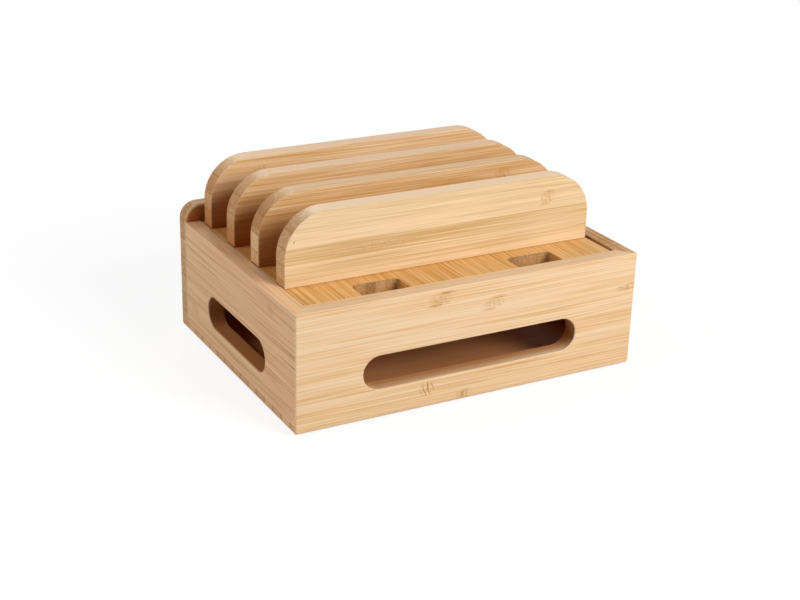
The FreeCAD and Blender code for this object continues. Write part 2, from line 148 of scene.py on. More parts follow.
@cache
def hollow() -> Room:
    """Room inside the box, up to the deck's top, with painted shade; the shade fades out in the walls'
    slots.

    Returns:
        The room.
    """
    low = Vector((extent("left_wall")[1].x, extent("front_wall")[1].y, extent("base_board")[1].z))
    top = extent("deck_board")[1].z - HOLLOW_FADE.z
    high = Vector((extent("right_wall")[0].x, extent("back_panel")[0].y, top))
    return Room(low - HOLLOW_DEPTH, high + HOLLOW_DEPTH, HOLLOW_FADE)


@cache
def bays() -> Room:
    """Room between the dividers, with painted shade that fades out upwards.

    Returns:
        The room.
    """
    low, high = extent("deck_board")
    margin = 2 * BAY_FADE.x
    start = Vector((low.x + margin, extent("front_divider")[1].y, high.z))
    end = Vector((high.x - margin, high.y, high.z + BAY_RISE))
    return Room(start, end, BAY_FADE)


@cache
def rear_end() -> Room:
    """Room over the rear end of the deck, up to the back panel, with painted shade that fades out upwards.

    Returns:
        The room.
    """
    level = extent("deck_board")[1].z
    start = Vector((CAD_LOW.x, extent("third_divider")[0].y, level))
    end = Vector((CAD_HIGH.x, extent("back_panel")[0].y, level + REAR_RISE))
    return Room(start, end, REAR_FADE)


@cache
def front_foot() -> Room:
    """Room under the front divider, with a painted shadow that fades out in front of the divider's foot.

    Returns:
        The room.
    """
    low, high = extent("deck_board")
    start = Vector((low.x, extent("front_divider")[0].y, low.z))
    end = Vector((high.x, extent("front_divider")[1].y, high.z))
    return Room(start, end, FOOT_FADE)


# Boards


@dataclass(frozen=True)
class Opening:
    """An outline cut into a flat face.

    Attributes:
        low: Its lowest corner on that face.
        high: Its highest corner on that face.
        radius: Radius of its corners.
    """

    low: Place
    high: Place
    radius: float

    @classmethod
    def slot(cls, middle: Place, length: float, height: float) -> "Opening":
        """Slot with round ends.

        Args:
            middle: Centre of the slot on its face.
            length: Length over the round ends.
            height: Height of the slot.

        Returns:
            The slot's outline.
        """
        reach = Vector((length, height)) / 2
        low, high = Vector(middle) - reach, Vector(middle) + reach
        return cls((low.x, low.y), (high.x, high.y), height / 2)

    @classmethod
    def holes(cls, places: Iterable[Place], diameter: float) -> "list[Opening]":
        """Outlines of round holes of one diameter at some places of a face."""
        return [cls.slot(place, diameter, diameter) for place in places]

    def holds(self, point: Vector, axis: Axis) -> bool:
        """Tell whether a point of the face lies on the opening.

        Args:
            point: The point.
            axis: Axis that the face is square to.

        Returns:
            Whether the point lies within the opening's corners.
        """
        places = (point[other.value] for other in axis.others)
        spans = zip(self.low, places, self.high)
        return all(low - SAME_PLACE < place < high + SAME_PLACE for low, place, high in spans)


class BoardMesh:
    """A wooden board in the making, sawn from a block or a plan, then pierced, drilled and eased."""

    def __init__(self) -> None:
        """Start with an empty mesh that remembers which faces are eased edges."""
        self.mesh: BMesh = bmesh.new()
        self.eased = self.mesh.faces.layers.float.new(EASED)

    def block(self, low: Vector, high: Vector) -> None:
        """Start from a square block between its lowest and its highest corner."""
        place = Matrix.LocRotScale((low + high) / 2, None, high - low)
        bmesh.ops.create_cube(self.mesh, size=1.0, matrix=place)

    def prism(self, plan: Sequence[Place], bottom: float, top: float) -> None:
        """Start from an outline in plan that rises from one level to another.

        Args:
            plan: Corners of the outline, seen from above.
            bottom: Lower level.
            top: Upper level.
        """
        floor = self.mesh.faces.new([self.mesh.verts.new((x, y, bottom)) for x, y in plan])
        risen = bmesh.ops.extrude_face_region(self.mesh, geom=[floor])["geom"]
        lift = Axis.Z.vector * (top - bottom)
        bmesh.ops.translate(self.mesh, vec=lift, verts=[item for item in risen if isinstance(item, BMVert)])
        bmesh.ops.recalc_face_normals(self.mesh, faces=self.mesh.faces)

    def edges(self, *tests: Callable[[Vector], bool]) -> list[BMEdge]:
        """Edges that lie whole in some region.

        Args:
            tests: Conditions on a point; both ends of an edge meet one and the same of them.

        Returns:
            The edges found.
        """
        return [
            edge for edge in self.mesh.edges
            if any(all(test(vert.co) for vert in edge.verts) for test in tests)
        ]

    def rims(self, low: Vector, high: Vector) -> list[BMEdge]:
        """Edges round the front and the back of an upright board that lies between two corners."""
        return self.edges(lambda p: close_to(p.y, low.y), lambda p: close_to(p.y, high.y))

    def corners(self, low: Vector, high: Vector, level: float) -> list[BMEdge]:
        """Edges from front to back at the two ends of an upright board.

        Args:
            low: Lowest corner of the board.
            high: Highest corner of the board.
            level: Height of the edges.

        Returns:
            The edges found.
        """
        return self.edges(
            lambda p: close_to(p.z, level) and close_to(p.x, low.x),
            lambda p: close_to(p.z, level) and close_to(p.x, high.x),
        )

    def face(self, facing: Vector) -> BMFace:
        """The largest flat face that looks one way.

        Args:
            facing: Unit vector that the face looks along.

        Returns:
            The face found.
        """
        self.mesh.normal_update()
        looking = [face for face in self.mesh.faces if face.normal.dot(facing) > FLAT_FACE]
        return max(looking, key=lambda face: face.calc_area())

    def wear_and_highlight(self, facing: Vector) -> None:
        """Remember the faces that look one way as rubbed edges with a painted highlight.

        Args:
            facing: Vector that the faces look along.
        """
        self.mesh.normal_update()
        for face in self.mesh.faces:
            if face.normal.dot(facing.normalized()) > FLAT_FACE:
                face[self.eased] = 1.0

    def round(self, edges: Iterable[BMEdge], radius: float, segments: int) -> list[BMFace]:
        """Round some edges.

        Args:
            edges: Edges to work on.
            radius: Radius of the round.
            segments: Steps across the round.

        Returns:
            The faces of the round.
        """
        made = bmesh.ops.bevel(
            self.mesh, geom=list(edges), offset=radius, offset_type="OFFSET", affect="EDGES",
            segments=segments, profile=ROUND_PROFILE, material=-1, clamp_overlap=False, loop_slide=True,
        )
        return made["faces"]

    def ease(self, edges: Iterable[BMEdge], radius: float, wear_and_highlight: float = 1.0) -> None:
        """Round some edges and remember how rubbed their faces are, with a painted highlight."""
        for face in self.round(edges, radius, EASE_SEGMENTS):
            face[self.eased] = wear_and_highlight

    def loop(self, opening: Opening, axis: Axis, level: float) -> list[BMEdge]:
        """Draw an opening's outline on a plane.

        Args:
            opening: The outline.
            axis: Axis that the plane is square to.
            level: Where the plane cuts that axis.

        Returns:
            The closed loop of edges.
        """
        across, up = axis.others
        (left, bottom), (right, top) = opening.low, opening.high
        corners = []
        for a, b in ((left, bottom), (right, bottom), (right, top), (left, top)):
            corners.append(self.mesh.verts.new(axis.vector * level + across.vector * a + up.vector * b))
        for start, end in zip(corners, corners[1:] + corners[:1]):
            self.mesh.edges.new((start, end))
        arcs = bmesh.ops.bevel(
            self.mesh, geom=corners, offset=opening.radius, offset_type="OFFSET", affect="VERTICES",
            segments=ARC_SEGMENTS, profile=ROUND_PROFILE, material=-1, clamp_overlap=False,
        )
        bmesh.ops.remove_doubles(self.mesh, verts=arcs["verts"], dist=SAME_PLACE)
        kept = [vert for vert in arcs["verts"] if vert.is_valid]
        return list({edge for vert in kept for edge in vert.link_edges})

    def cut_face(self, axis: Axis, facing: Vector, openings: Sequence[Opening]) -> list[list[BMEdge]]:
        """Cut outlines out of the board's largest face that looks one way.

        Args:
            axis: Axis that the face is square to.
            facing: Unit vector that the face looks along.
            openings: The outlines.

        Returns:
            The closed loop of edges round each opening.
        """
        skin = self.face(facing)
        rim = list(skin.edges)
        level = skin.verts[0].co[axis.value]
        bmesh.ops.delete(self.mesh, geom=[skin], context="FACES_ONLY")
        loops = [self.loop(opening, axis, level) for opening in openings]
        edges = [*rim, *(edge for loop in loops for edge in loop)]
        made = bmesh.ops.triangle_fill(self.mesh, use_beauty=True, edges=edges, normal=facing)
        inner = [item for item in made["geom"] if isinstance(item, BMEdge) and item not in edges]
        bmesh.ops.dissolve_limit(self.mesh, angle_limit=FLAT_ANGLE, verts=[], edges=inner)
        return loops

    def pierce(self, axis: Axis, openings: Sequence[Opening]) -> None:
        """Cut openings right through the board.

        Args:
            axis: Axis that the cuts run along.
            openings: Outlines of the cuts.
        """
        cuts = [self.cut_face(axis, axis.vector * side, openings) for side in SIDES]
        for near, far in zip(*cuts):
            bmesh.ops.bridge_loops(self.mesh, edges=[*near, *far])
        bmesh.ops.recalc_face_normals(self.mesh, faces=self.mesh.faces)

    def drill(self, axis: Axis, inwards: float, holes: Sequence[Opening]) -> None:
        """Drill blind holes into the board.

        Args:
            axis: Axis that the holes run along.
            inwards: Depth of the holes; its sign is the way that the drill goes.
            holes: Outlines of the holes.
        """
        facing = axis.vector * -math.copysign(1.0, inwards)
        for loop in self.cut_face(axis, facing, holes):
            wall = bmesh.ops.extrude_edge_only(self.mesh, edges=loop)["geom"]
            bottom = [item for item in wall if isinstance(item, BMVert)]
            bmesh.ops.translate(self.mesh, vec=axis.vector * inwards, verts=bottom)
            bmesh.ops.contextual_create(self.mesh, geom=bottom)
        bmesh.ops.recalc_face_normals(self.mesh, faces=self.mesh.faces)

    def finish(self, name: str) -> bpy.types.Object:
        """Make the board an object of the scene.

        Args:
            name: Name of the piece.

        Returns:
            The piece, at the origin, with its place in its mesh.
        """
        data = bpy.data.meshes.new(name)
        self.mesh.to_mesh(data)
        self.mesh.free()
        data.shade_smooth()
        data.set_sharp_from_angle(angle=SHARP_ANGLE)
        piece = bpy.data.objects.new(name, data)
        bpy.context.scene.collection.objects.link(piece)
        even = piece.modifiers.new("even_shading", "WEIGHTED_NORMAL")
        even.mode = "FACE_AREA"
        even.weight = EVEN_WEIGHT
        even.keep_sharp = True
        return piece


# Finishes


def opaque(colour: Colour | Socket) -> Value:
    """Colour with full cover, as a node's colour socket takes it; a linked colour stays as it is."""
    return colour if isinstance(colour, Socket) else (*colour, 1.0)


class Shader:
    """The nodes of a material or of the sky, written one at a time."""

    MIX_INPUTS: ClassVar[tuple[int, int, int]] = (0, 6, 7)
    MIX_RESULT: ClassVar[int] = 2

    def __init__(self, owner: bpy.types.Material | bpy.types.World) -> None:
        """Start with no nodes.

        Args:
            owner: What the nodes belong to.
        """
        self.owner = owner
        self.owner.use_nodes = True
        self.tree = self.owner.node_tree
        self.tree.nodes.clear()

    def put(self, socket: Socket, value: Value) -> None:
        """Link a socket, or set it to a constant.

        Args:
            socket: Input to feed.
            value: Output to link, or the constant.
        """
        if isinstance(value, Socket):
            self.tree.links.new(value, socket)
        else:
            socket.default_value = value

    def add(self, kind: str, values: Mapping[str | int, Value], **settings: object) -> bpy.types.Node:
        """Add one node.

        Args:
            kind: Blender's name of the node, without its common first part.
            values: What goes into its inputs.
            settings: The node's own options.

        Returns:
            The node.
        """
        node = self.tree.nodes.new(f"ShaderNode{kind}")
        for option, choice in settings.items():
            setattr(node, option, choice)
        for name, value in values.items():
            self.put(node.inputs[name], value)
        return node

    def math(self, operation: str, *values: Value) -> Socket:
        """Work out a number by one of Blender's operations."""
        return self.add("Math", dict(enumerate(values)), operation=operation).outputs[0]

    def vector(self, operation: str, *values: Value) -> bpy.types.Node:
        """Node that works on places by one of Blender's operations; it gives a place and a number."""
        return self.add("VectorMath", dict(enumerate(values)), operation=operation)

    def product(self, *values: Value) -> Socket:
        """Multiply numbers."""
        return reduce(lambda first, second: self.math("MULTIPLY", first, second), values)

    def inverse(self, share: Value) -> Socket:
        """What a share leaves of 1."""
        return self.math("SUBTRACT", 1.0, share)

    def metres(self) -> Socket:
        """Place on the piece, in metres."""
        return self.add("TexCoord", {}).outputs["Object"]

    def scaled(self, place: Value, factors: Sequence[float]) -> Socket:
        """Stretch a place along its axes, by one factor for each."""
        return self.vector("MULTIPLY", place, factors).outputs[0]

    def length(self, place: Value) -> Socket:
        """How far a place is from the origin."""
        return self.vector("LENGTH", place).outputs["Value"]

    def parts(self, place: Value) -> Sequence[Socket]:
        """A place's three numbers."""
        return list(self.add("SeparateXYZ", {0: place}).outputs)

    def joined(self, *parts: Value) -> Socket:
        """Place with the given numbers."""
        return self.add("CombineXYZ", dict(enumerate(parts))).outputs[0]

    def facing(self, axis: Axis) -> Socket:
        """How far the surface looks along an axis, from -1 to 1."""
        normal = self.add("TexCoord", {}).outputs["Normal"]
        return self.vector("DOT_PRODUCT", normal, axis.vector).outputs["Value"]

    def step(self, value: Value, span: Span) -> Socket:
        """Soft step from 0 at the start of a span to 1 at its end."""
        inputs = {"Value": value, "From Min": span[0], "From Max": span[1]}
        return self.add("MapRange", inputs, interpolation_type="SMOOTHSTEP").outputs[0]

    def fall(self, value: Value, span: Span) -> Socket:
        """Soft step from 1 to 0 over a span."""
        return self.inverse(self.step(value, span))

    def within(self, place: Socket, room: Room) -> Socket:
        """Tell the inside of a room from the outside.

        Args:
            place: The place to test.
            room: The room.

        Returns:
            1 inside, fading to 0 outside.
        """
        steps = []
        for part, low, high, fade in zip(self.parts(place), room.low, room.high, room.fade):
            steps.append(self.step(part, (low - fade, low)))
            steps.append(self.step(part, (high + fade, high)))
        return self.product(*steps)

    def blend(self, share: Value, first: Colour | Socket, second: Colour | Socket) -> Socket:
        """Mix two colours by the share of the second one."""
        inputs = dict(zip(self.MIX_INPUTS, (share, opaque(first), opaque(second))))
        return self.add("Mix", inputs, data_type="RGBA", clamp_factor=True).outputs[self.MIX_RESULT]

    def ramp(self, value: Value, stops: Sequence[tuple[float, Colour]], kind: str) -> Socket:
        """Colour by a number.

        Args:
            value: The number, from 0 to 1.
            stops: Places along it with their colours.
            kind: Blender's name of the way between two stops.

        Returns:
            The colour.
        """
        node = self.add("ValToRGB", {0: value})
        node.color_ramp.interpolation = kind
        while len(node.color_ramp.elements) < len(stops):
            node.color_ramp.elements.new(1.0)
        for element, (place, colour) in zip(node.color_ramp.elements, stops):
            element.position = place
            element.color = opaque(colour)
        return node.outputs[0]

    def bump(self, strength: float, depth: float, height: Socket) -> Socket:
        """Raise the surface by a relief with a strength and with a depth in millimetres."""
        return self.add("Bump", {"Strength": strength, "Distance": depth * MM, "Height": height}).outputs[0]

    def surface(self, **values: Value) -> bpy.types.Material:
        """Close the material with its shader.

        Args:
            values: Inputs of the shader, in lower case with underscores.

        Returns:
            The material.
        """
        inputs = {}
        for name, value in values.items():
            inputs[name.replace("_", " ").title().replace("Ior", "IOR")] = value
        shader = self.add("BsdfPrincipled", inputs)
        self.add("OutputMaterial", {"Surface": shader.outputs[0]})
        return self.owner


@dataclass(frozen=True)
class Pattern:
    """Cloudy pattern of a finish.

    Attributes:
        cells: Cells to a millimetre along each axis.
        detail: How many finer layers it has.
        roughness: How strong those are.
    """

    cells: tuple[float, float, float]
    detail: float = 2.0
    roughness: float = 0.5

    def draw(self, shader: Shader, place: Socket) -> Socket:
        """Draw the pattern.

        Args:
            shader: Nodes of the material.
            place: Where it is read, in millimetres.

        Returns:
            The pattern, from about -0.5 to 0.5.
        """
        inputs = {
            "Vector": shader.scaled(place, self.cells),
            "Scale": 1.0,
            "Detail": self.detail,
            "Roughness": self.roughness,
        }
        return shader.math("SUBTRACT", shader.add("TexNoise", inputs).outputs[0], 0.5)


@dataclass(frozen=True)
class Tones:
    """Colours of one sort of bamboo."""

    pale: Colour = (0.90, 0.655, 0.415)
    middle: Colour = (0.82, 0.535, 0.285)
    dark: Colour = (0.66, 0.365, 0.150)
    # Dark marks of the grain and joints; also the colour of the painted shadow at the front divider's foot.
    mark: Colour = (0.48, 0.195, 0.02)
    shade: Colour = (0.47, 0.155, 0.032)
    end_pale: Colour = (0.89, 0.565, 0.305)
    end_dark: Colour = (0.52, 0.255, 0.10)
    # Rubbed edges, which are paler also as a painted highlight.
    worn_and_highlight: Colour = (0.92, 0.70, 0.46)
    # Painted sheen on the faces that look up.
    top_sheen: Colour = (0.92, 0.655, 0.44)
    # Painted shadow in the gap at the foot of a divider's ends.
    gap_shadow: Colour = (0.07, 0.025, 0.01)


@dataclass(frozen=True)
class Knuckle:
    """A growth ring of the cane: a brown cloud between two streaks, with strokes across the grain.

    Attributes:
        along: Place along the grain, in millimetres.
        across: Place across the strips.
        length: Reach along the grain.
        width: Reach across the strips.
        cloud: How brown the cloud is.
        strokes: How brown the strokes are.
        streaks: How brown the two streaks are.
    """

    EDGE: ClassVar[Span] = (0.4, 1.0)
    STREAK_START: ClassVar[Span] = (0.5, 0.72)
    STREAK_END: ClassVar[Span] = (0.75, 1.0)
    STREAK_LEAN: ClassVar[Span] = (-0.2, 0.2)
    STREAK_REACH: ClassVar[Span] = (0.45, 1.1)
    STREAK_CLOUD: ClassVar[float] = 0.6
    STREAK_PLAIN: ClassVar[float] = 0.4

    along: float
    across: float
    length: float
    width: float
    cloud: float = 0.3
    strokes: float = 0.4
    streaks: float = 0.4

    def brown(self, shader: Shader, flat: Socket, cloud: Socket, strokes: Socket) -> Socket:
        """Lay the growth ring on a board.

        Args:
            shader: Nodes of the material.
            flat: Place along and across the board.
            cloud: Clouds all over the board.
            strokes: Strokes all over the board.

        Returns:
            How brown the growth ring is.
        """
        offset = shader.vector("SUBTRACT", flat, (self.along, self.across, 0.0)).outputs[0]
        local = shader.scaled(offset, (1.0 / self.length, 1.0 / self.width, 1.0))
        run, rise = shader.parts(local)[:2]
        height = shader.math("ABSOLUTE", rise)
        starts, stops = (shader.step(height, span) for span in (self.STREAK_START, self.STREAK_END))
        streak = shader.product(
            shader.math("SUBTRACT", starts, stops),
            shader.step(shader.product(run, rise), self.STREAK_LEAN),
            shader.fall(shader.math("ABSOLUTE", run), self.STREAK_REACH),
            shader.math("MULTIPLY_ADD", cloud, self.STREAK_CLOUD, self.STREAK_PLAIN),
        )
        brown = shader.math("MULTIPLY_ADD", strokes, self.strokes, shader.product(cloud, self.cloud))
        brown = shader.product(brown, shader.fall(shader.length(local), self.EDGE))
        return shader.math("MULTIPLY_ADD", streak, self.streaks, brown)


class Strip(NamedTuple):
    """What a point of a board tells of the strip that it lies in.

    Attributes:
        tone: How dark the strip is.
        cane: Where it was cut from the cane.
        block: How dark its ends are.
        beside: Way to its nearest joint, in millimetres.
    """

    tone: Socket
    cane: Socket
    block: Socket
    beside: Socket


@dataclass(frozen=True)
class Bamboo:
    """Board glued up from bamboo strips; lengths are in millimetres.

    Attributes:
        name: Name of the finish.
        grain: Axis that the fibres run along.
        stack: Axis that the strips are glued along.
        strip: Width of a strip.
        start: Where the first strip starts.
        tones: How dark each strip is.
        colours: Colours of the bamboo.
        knuckles: Growth rings.
        seams: Places of the joints that show.
        blocks: How dark the ends of each strip are; drawn at random where there are none.
        seed: Start of the random draws.
        fibre: Strength of the grain.
        joint: How dark the other joints are.
        tick: How dark the joints are on the end grain.
        tick_width: Width of those.
        thread: Strength of the finest fibres.
        hollow_shade: Share of painted shade, a darker brown, inside the box.
        bay_shade: Share of painted shade between the dividers.
        rear_shade: Share of painted shade at the rear end of the deck.
        foot_shade: Share of painted shadow at the front divider's foot.
        top_sheen: Share of painted sheen that makes the top faces paler.
        gap_shadow: How dark the painted shadow of the gap is at the foot of a divider's ends.
        on_deck: Whether a shadow line shows where the board stands on the deck.
    """

    SWAY: ClassVar[Pattern] = Pattern((0.010, 0.05, 0.05), 1.0)
    SWAY_REACH: ClassVar[float] = 1.5
    CANE_LENGTH: ClassVar[float] = 700.0
    BAND: ClassVar[Pattern] = Pattern((0.007, 0.28, 0.28))
    BAND_DEPTH: ClassVar[float] = 0.7
    FIBRE: ClassVar[Pattern] = Pattern((0.015, 0.9, 0.9), roughness=0.6)
    FIBRE_DEPTH: ClassVar[float] = 0.85
    THREAD: ClassVar[Pattern] = Pattern((0.022, 2.1, 2.1), 1.0)
    HAIR: ClassVar[Pattern] = Pattern((0.012, 1.3, 1.3), 1.0)
    HAIR_EDGE: ClassVar[Span] = (0.12, 0.2)
    HAIR_DEPTH: ClassVar[float] = 0.28

    JOINT_EDGE: ClassVar[Span] = (0.05, 0.3)
    SEAM_EDGE: ClassVar[Span] = (0.12, 0.5)
    SEAM_DEPTH: ClassVar[float] = 0.5
    SEAM_BREAKS: ClassVar[float] = 1.2

    CLOUD: ClassVar[Pattern] = Pattern((0.55, 1.6, 1.0), 3.0, 0.6)
    CLOUD_EDGE: ClassVar[Span] = (-0.12, 0.22)
    STROKE_SLANT: ClassVar[float] = 0.28
    STROKE_WAVES: ClassVar[float] = 2.9
    STROKE_BEND: ClassVar[Pattern] = Pattern((0.25, 0.16, 1.0))
    STROKE_BEND_REACH: ClassVar[float] = 7.0
    STROKE_EDGE: ClassVar[Span] = (0.55, 0.95)
    BROWNEST: ClassVar[float] = 0.9

    END_TURN: ClassVar[Span] = (0.2, 0.8)
    END_DEPTH: ClassVar[float] = 0.1
    END_BLOCK_DEPTH: ClassVar[float] = 0.8
    END_CLOUD: ClassVar[Pattern] = Pattern((0.05, 0.4, 0.4))
    END_CLOUD_DEPTH: ClassVar[float] = 0.6
    PORE_CELLS: ClassVar[tuple[float, float, float]] = (0.25, 1.6, 1.6)
    PORE_REACH: ClassVar[float] = 0.5
    PORE_DEPTH: ClassVar[float] = 0.9
    TICK_CORE: ClassVar[float] = 0.3

    WORN_AND_HIGHLIGHT_SHARE: ClassVar[float] = 0.25
    TOP_SHEEN_TURN: ClassVar[Span] = (0.9, 0.99)
    FOOT_LINE: ClassVar[float] = 0.9
    FOOT_SHARE: ClassVar[float] = 0.6

    ROUGHNESS: ClassVar[float] = 0.48
    FIBRE_ROUGHNESS: ClassVar[float] = 0.25
    END_ROUGHNESS: ClassVar[float] = 0.16
    RELIEF_STRENGTH: ClassVar[float] = 0.3
    RELIEF_DEPTH: ClassVar[float] = 0.05
    SHEEN: ClassVar[float] = 0.1

    name: str
    grain: Axis
    stack: Axis
    strip: float
    start: float
    tones: tuple[float, ...]
    colours: Tones = Tones()
    knuckles: tuple[Knuckle, ...] = ()
    seams: tuple[float, ...] = ()
    blocks: tuple[float, ...] = ()
    seed: int = 1
    fibre: float = 1.0
    joint: float = 0.08
    tick: float = 0.55
    tick_width: float = 0.5
    thread: float = 1.3
    hollow_shade: float = 0.75
    bay_shade: float = 0.0
    rear_shade: float = 0.0
    foot_shade: float = 0.0
    top_sheen: float = 0.0
    gap_shadow: float = 0.0
    on_deck: bool = False

    def strips(self, shader: Shader, across: Socket) -> Strip:
        """Tell the glued strips apart.

        Args:
            shader: Nodes of the material.
            across: Place across the strips.

        Returns:
            The strip at that place.
        """
        draw = random.Random(self.seed)
        blocks = self.blocks or tuple(draw.random() for _ in self.tones)
        stops = []
        for index, (tone, block) in enumerate(zip(self.tones, blocks)):
            stops.append((index / len(self.tones), (tone, draw.random(), block)))
        count = shader.math("DIVIDE", shader.math("SUBTRACT", across, self.start), self.strip)
        share = shader.math("DIVIDE", count, float(len(self.tones)))
        code = shader.add("SeparateColor", {0: shader.ramp(share, stops, "CONSTANT")}).outputs
        beside = shader.product(shader.math("PINGPONG", count, 0.5), self.strip)
        return Strip(code[0], code[1], code[2], beside)

    def glue_lines(self, shader: Shader, across: Socket, beside: Socket, fibre: Socket) -> Socket:
        """Draw the faint joints between the strips, and the few that show.

        Args:
            shader: Nodes of the material.
            across: Place across the strips.
            beside: Way to the nearest joint.
            fibre: Fibres, which break the lines.

        Returns:
            How dark the lines are.
        """
        total = shader.product(shader.fall(beside, self.JOINT_EDGE), self.joint)
        for seam in self.seams:
            away = shader.math("ABSOLUTE", shader.math("SUBTRACT", across, seam))
            broken = shader.math("MULTIPLY_ADD", fibre, self.SEAM_BREAKS, self.SEAM_DEPTH)
            total = shader.math("MULTIPLY_ADD", shader.fall(away, self.SEAM_EDGE), broken, total)
        return total

    def marks(self, shader: Shader, along: Socket, across: Socket) -> Socket:
        """Lay the growth rings on the board.

        Args:
            shader: Nodes of the material.
            along: Place along the grain.
            across: Place across the strips.

        Returns:
            How brown the marks are.
        """
        slanted = shader.math("MULTIPLY_ADD", across, self.STROKE_SLANT, along)
        flat = shader.joined(along, across)
        cloud = shader.step(self.CLOUD.draw(shader, flat), self.CLOUD_EDGE)
        bend = self.STROKE_BEND.draw(shader, shader.joined(slanted, across))
        bend = shader.product(bend, self.STROKE_BEND_REACH)
        waves = shader.math("SINE", shader.math("MULTIPLY_ADD", slanted, self.STROKE_WAVES, bend))
        strokes = shader.step(waves, self.STROKE_EDGE)
        total: Value = 0.0
        for knuckle in self.knuckles:
            total = shader.math("ADD", knuckle.brown(shader, flat, cloud, strokes), total)
        return shader.math("MINIMUM", total, self.BROWNEST)

    def end_grain(self, shader: Shader, place: Socket, strip: Strip) -> Socket:
        """Cut fibres where a face crosses the grain.

        Args:
            shader: Nodes of the material.
            place: Place along, across and into the board.
            strip: The strip at that place.

        Returns:
            The colour of the end grain.
        """
        pores = shader.add("TexVoronoi", {"Vector": shader.scaled(place, self.PORE_CELLS), "Scale": 1.0})
        speckle = shader.math("SUBTRACT", self.PORE_REACH, pores.outputs["Distance"])
        depth = shader.math("MULTIPLY_ADD", speckle, self.PORE_DEPTH, self.END_DEPTH)
        depth = shader.math("MULTIPLY_ADD", strip.block, self.END_BLOCK_DEPTH, depth)
        depth = shader.math("MULTIPLY_ADD", self.END_CLOUD.draw(shader, place), self.END_CLOUD_DEPTH, depth)
        colour = shader.blend(depth, self.colours.end_pale, self.colours.end_dark)
        tick = shader.fall(strip.beside, (self.tick_width * self.TICK_CORE, self.tick_width))
        return shader.blend(shader.product(tick, self.tick), colour, self.colours.mark)

    def shaded(self, shader: Shader, metres: Socket, colour: Socket) -> Socket:
        """Paint shade into the wood's colour in the shady rooms.

        Args:
            shader: Nodes of the material.
            metres: Place on the piece.
            colour: Colour in the light.

        Returns:
            The colour with its painted shade.
        """
        rooms = (
            (hollow(), self.hollow_shade, self.colours.shade),
            (bays(), self.bay_shade, self.colours.shade),
            (rear_end(), self.rear_shade, self.colours.shade),
            (front_foot(), self.foot_shade, self.colours.mark),
        )
        for room, brown, shade in rooms:
            colour = shader.blend(shader.product(shader.within(metres, room), brown), colour, shade)
        return colour

    def standing(self, shader: Shader, across: Socket, turned: Socket, colour: Socket) -> Socket:
        """Draw the shadow line where the board stands on the deck.

        Args:
            shader: Nodes of the material.
            across: Place across the strips, which is upwards.
            turned: Share of end grain.
            colour: Colour without the line.

        Returns:
            The colour with the line.
        """
        level = extent("deck_board")[1].z / MM
        line = shader.fall(across, (level, level + self.FOOT_LINE))
        colour = shader.blend(shader.product(line, self.FOOT_SHARE), colour, self.colours.shade)
        # Painted shadow of the gap beside a divider's end, on its end grain.
        return shader.blend(shader.product(line, turned, self.gap_shadow), colour, self.colours.gap_shadow)

    def material(self) -> bpy.types.Material:
        """Make the finish.

        Returns:
            The material.
        """
        shader = Shader(bpy.data.materials.new(self.name))
        metres = shader.metres()
        parts = shader.parts(shader.scaled(metres, PER_MM))
        inwards = next(axis for axis in Axis if axis not in (self.grain, self.stack))
        along, across, depth = (parts[axis.value] for axis in (self.grain, self.stack, inwards))
        strip = self.strips(shader, across)
        sway = self.SWAY.draw(shader, shader.joined(along, across, depth))
        place = shader.joined(
            shader.math("MULTIPLY_ADD", strip.cane, self.CANE_LENGTH, along),
            shader.math("MULTIPLY_ADD", sway, self.SWAY_REACH, across),
            depth,
        )
        band, fibre, thread, hair = (
            pattern.draw(shader, place) for pattern in (self.BAND, self.FIBRE, self.THREAD, self.HAIR)
        )
        hair = shader.step(hair, self.HAIR_EDGE)
        layers = (band, fibre, thread, hair)
        strengths = (self.BAND_DEPTH, self.FIBRE_DEPTH, self.thread, self.HAIR_DEPTH)
        tone = strip.tone
        for layer, strength in zip(layers, strengths):
            tone = shader.math("MULTIPLY_ADD", layer, strength * self.fibre, tone)
        colours = self.colours
        stops = ((0.0, colours.pale), (0.5, colours.middle), (1.0, colours.dark))
        colour = shader.ramp(tone, stops, "LINEAR")
        glue = self.glue_lines(shader, across, strip.beside, fibre)
        colour = shader.blend(glue, colour, colours.mark)
        colour = shader.blend(self.marks(shader, along, across), colour, colours.mark)
        eased = shader.add("Attribute", {}, attribute_name=EASED).outputs["Fac"]
        turned = shader.step(shader.math("ABSOLUTE", shader.facing(self.grain)), self.END_TURN)
        turned = shader.product(turned, shader.inverse(eased))
        colour = shader.blend(turned, colour, self.end_grain(shader, place, strip))
        # Eased edges: rubbed, and paler as a painted highlight.
        colour = shader.blend(shader.product(eased, self.WORN_AND_HIGHLIGHT_SHARE), colour, colours.worn_and_highlight)
        # Painted sheen: the faces that look up are paler.
        top_sheen = shader.product(shader.step(shader.facing(Axis.Z), self.TOP_SHEEN_TURN), self.top_sheen)
        colour = shader.blend(top_sheen, colour, colours.top_sheen)
        # Painted shade in the box, between the dividers, at the deck's rear end and at the front divider's
        # foot.
        colour = self.shaded(shader, metres, colour)
        if self.on_deck:
            colour = self.standing(shader, across, turned, colour)
        gloss = shader.math("MULTIPLY_ADD", fibre, self.FIBRE_ROUGHNESS, self.ROUGHNESS)
        gloss = shader.math("MULTIPLY_ADD", turned, self.END_ROUGHNESS, gloss)
        relief = shader.math("SUBTRACT", fibre, shader.math("ADD", hair, glue))
        bump = shader.bump(self.RELIEF_STRENGTH, self.RELIEF_DEPTH, relief)
        return shader.surface(base_color=colour, roughness=gloss, normal=bump, specular_ior_level=self.SHEEN)


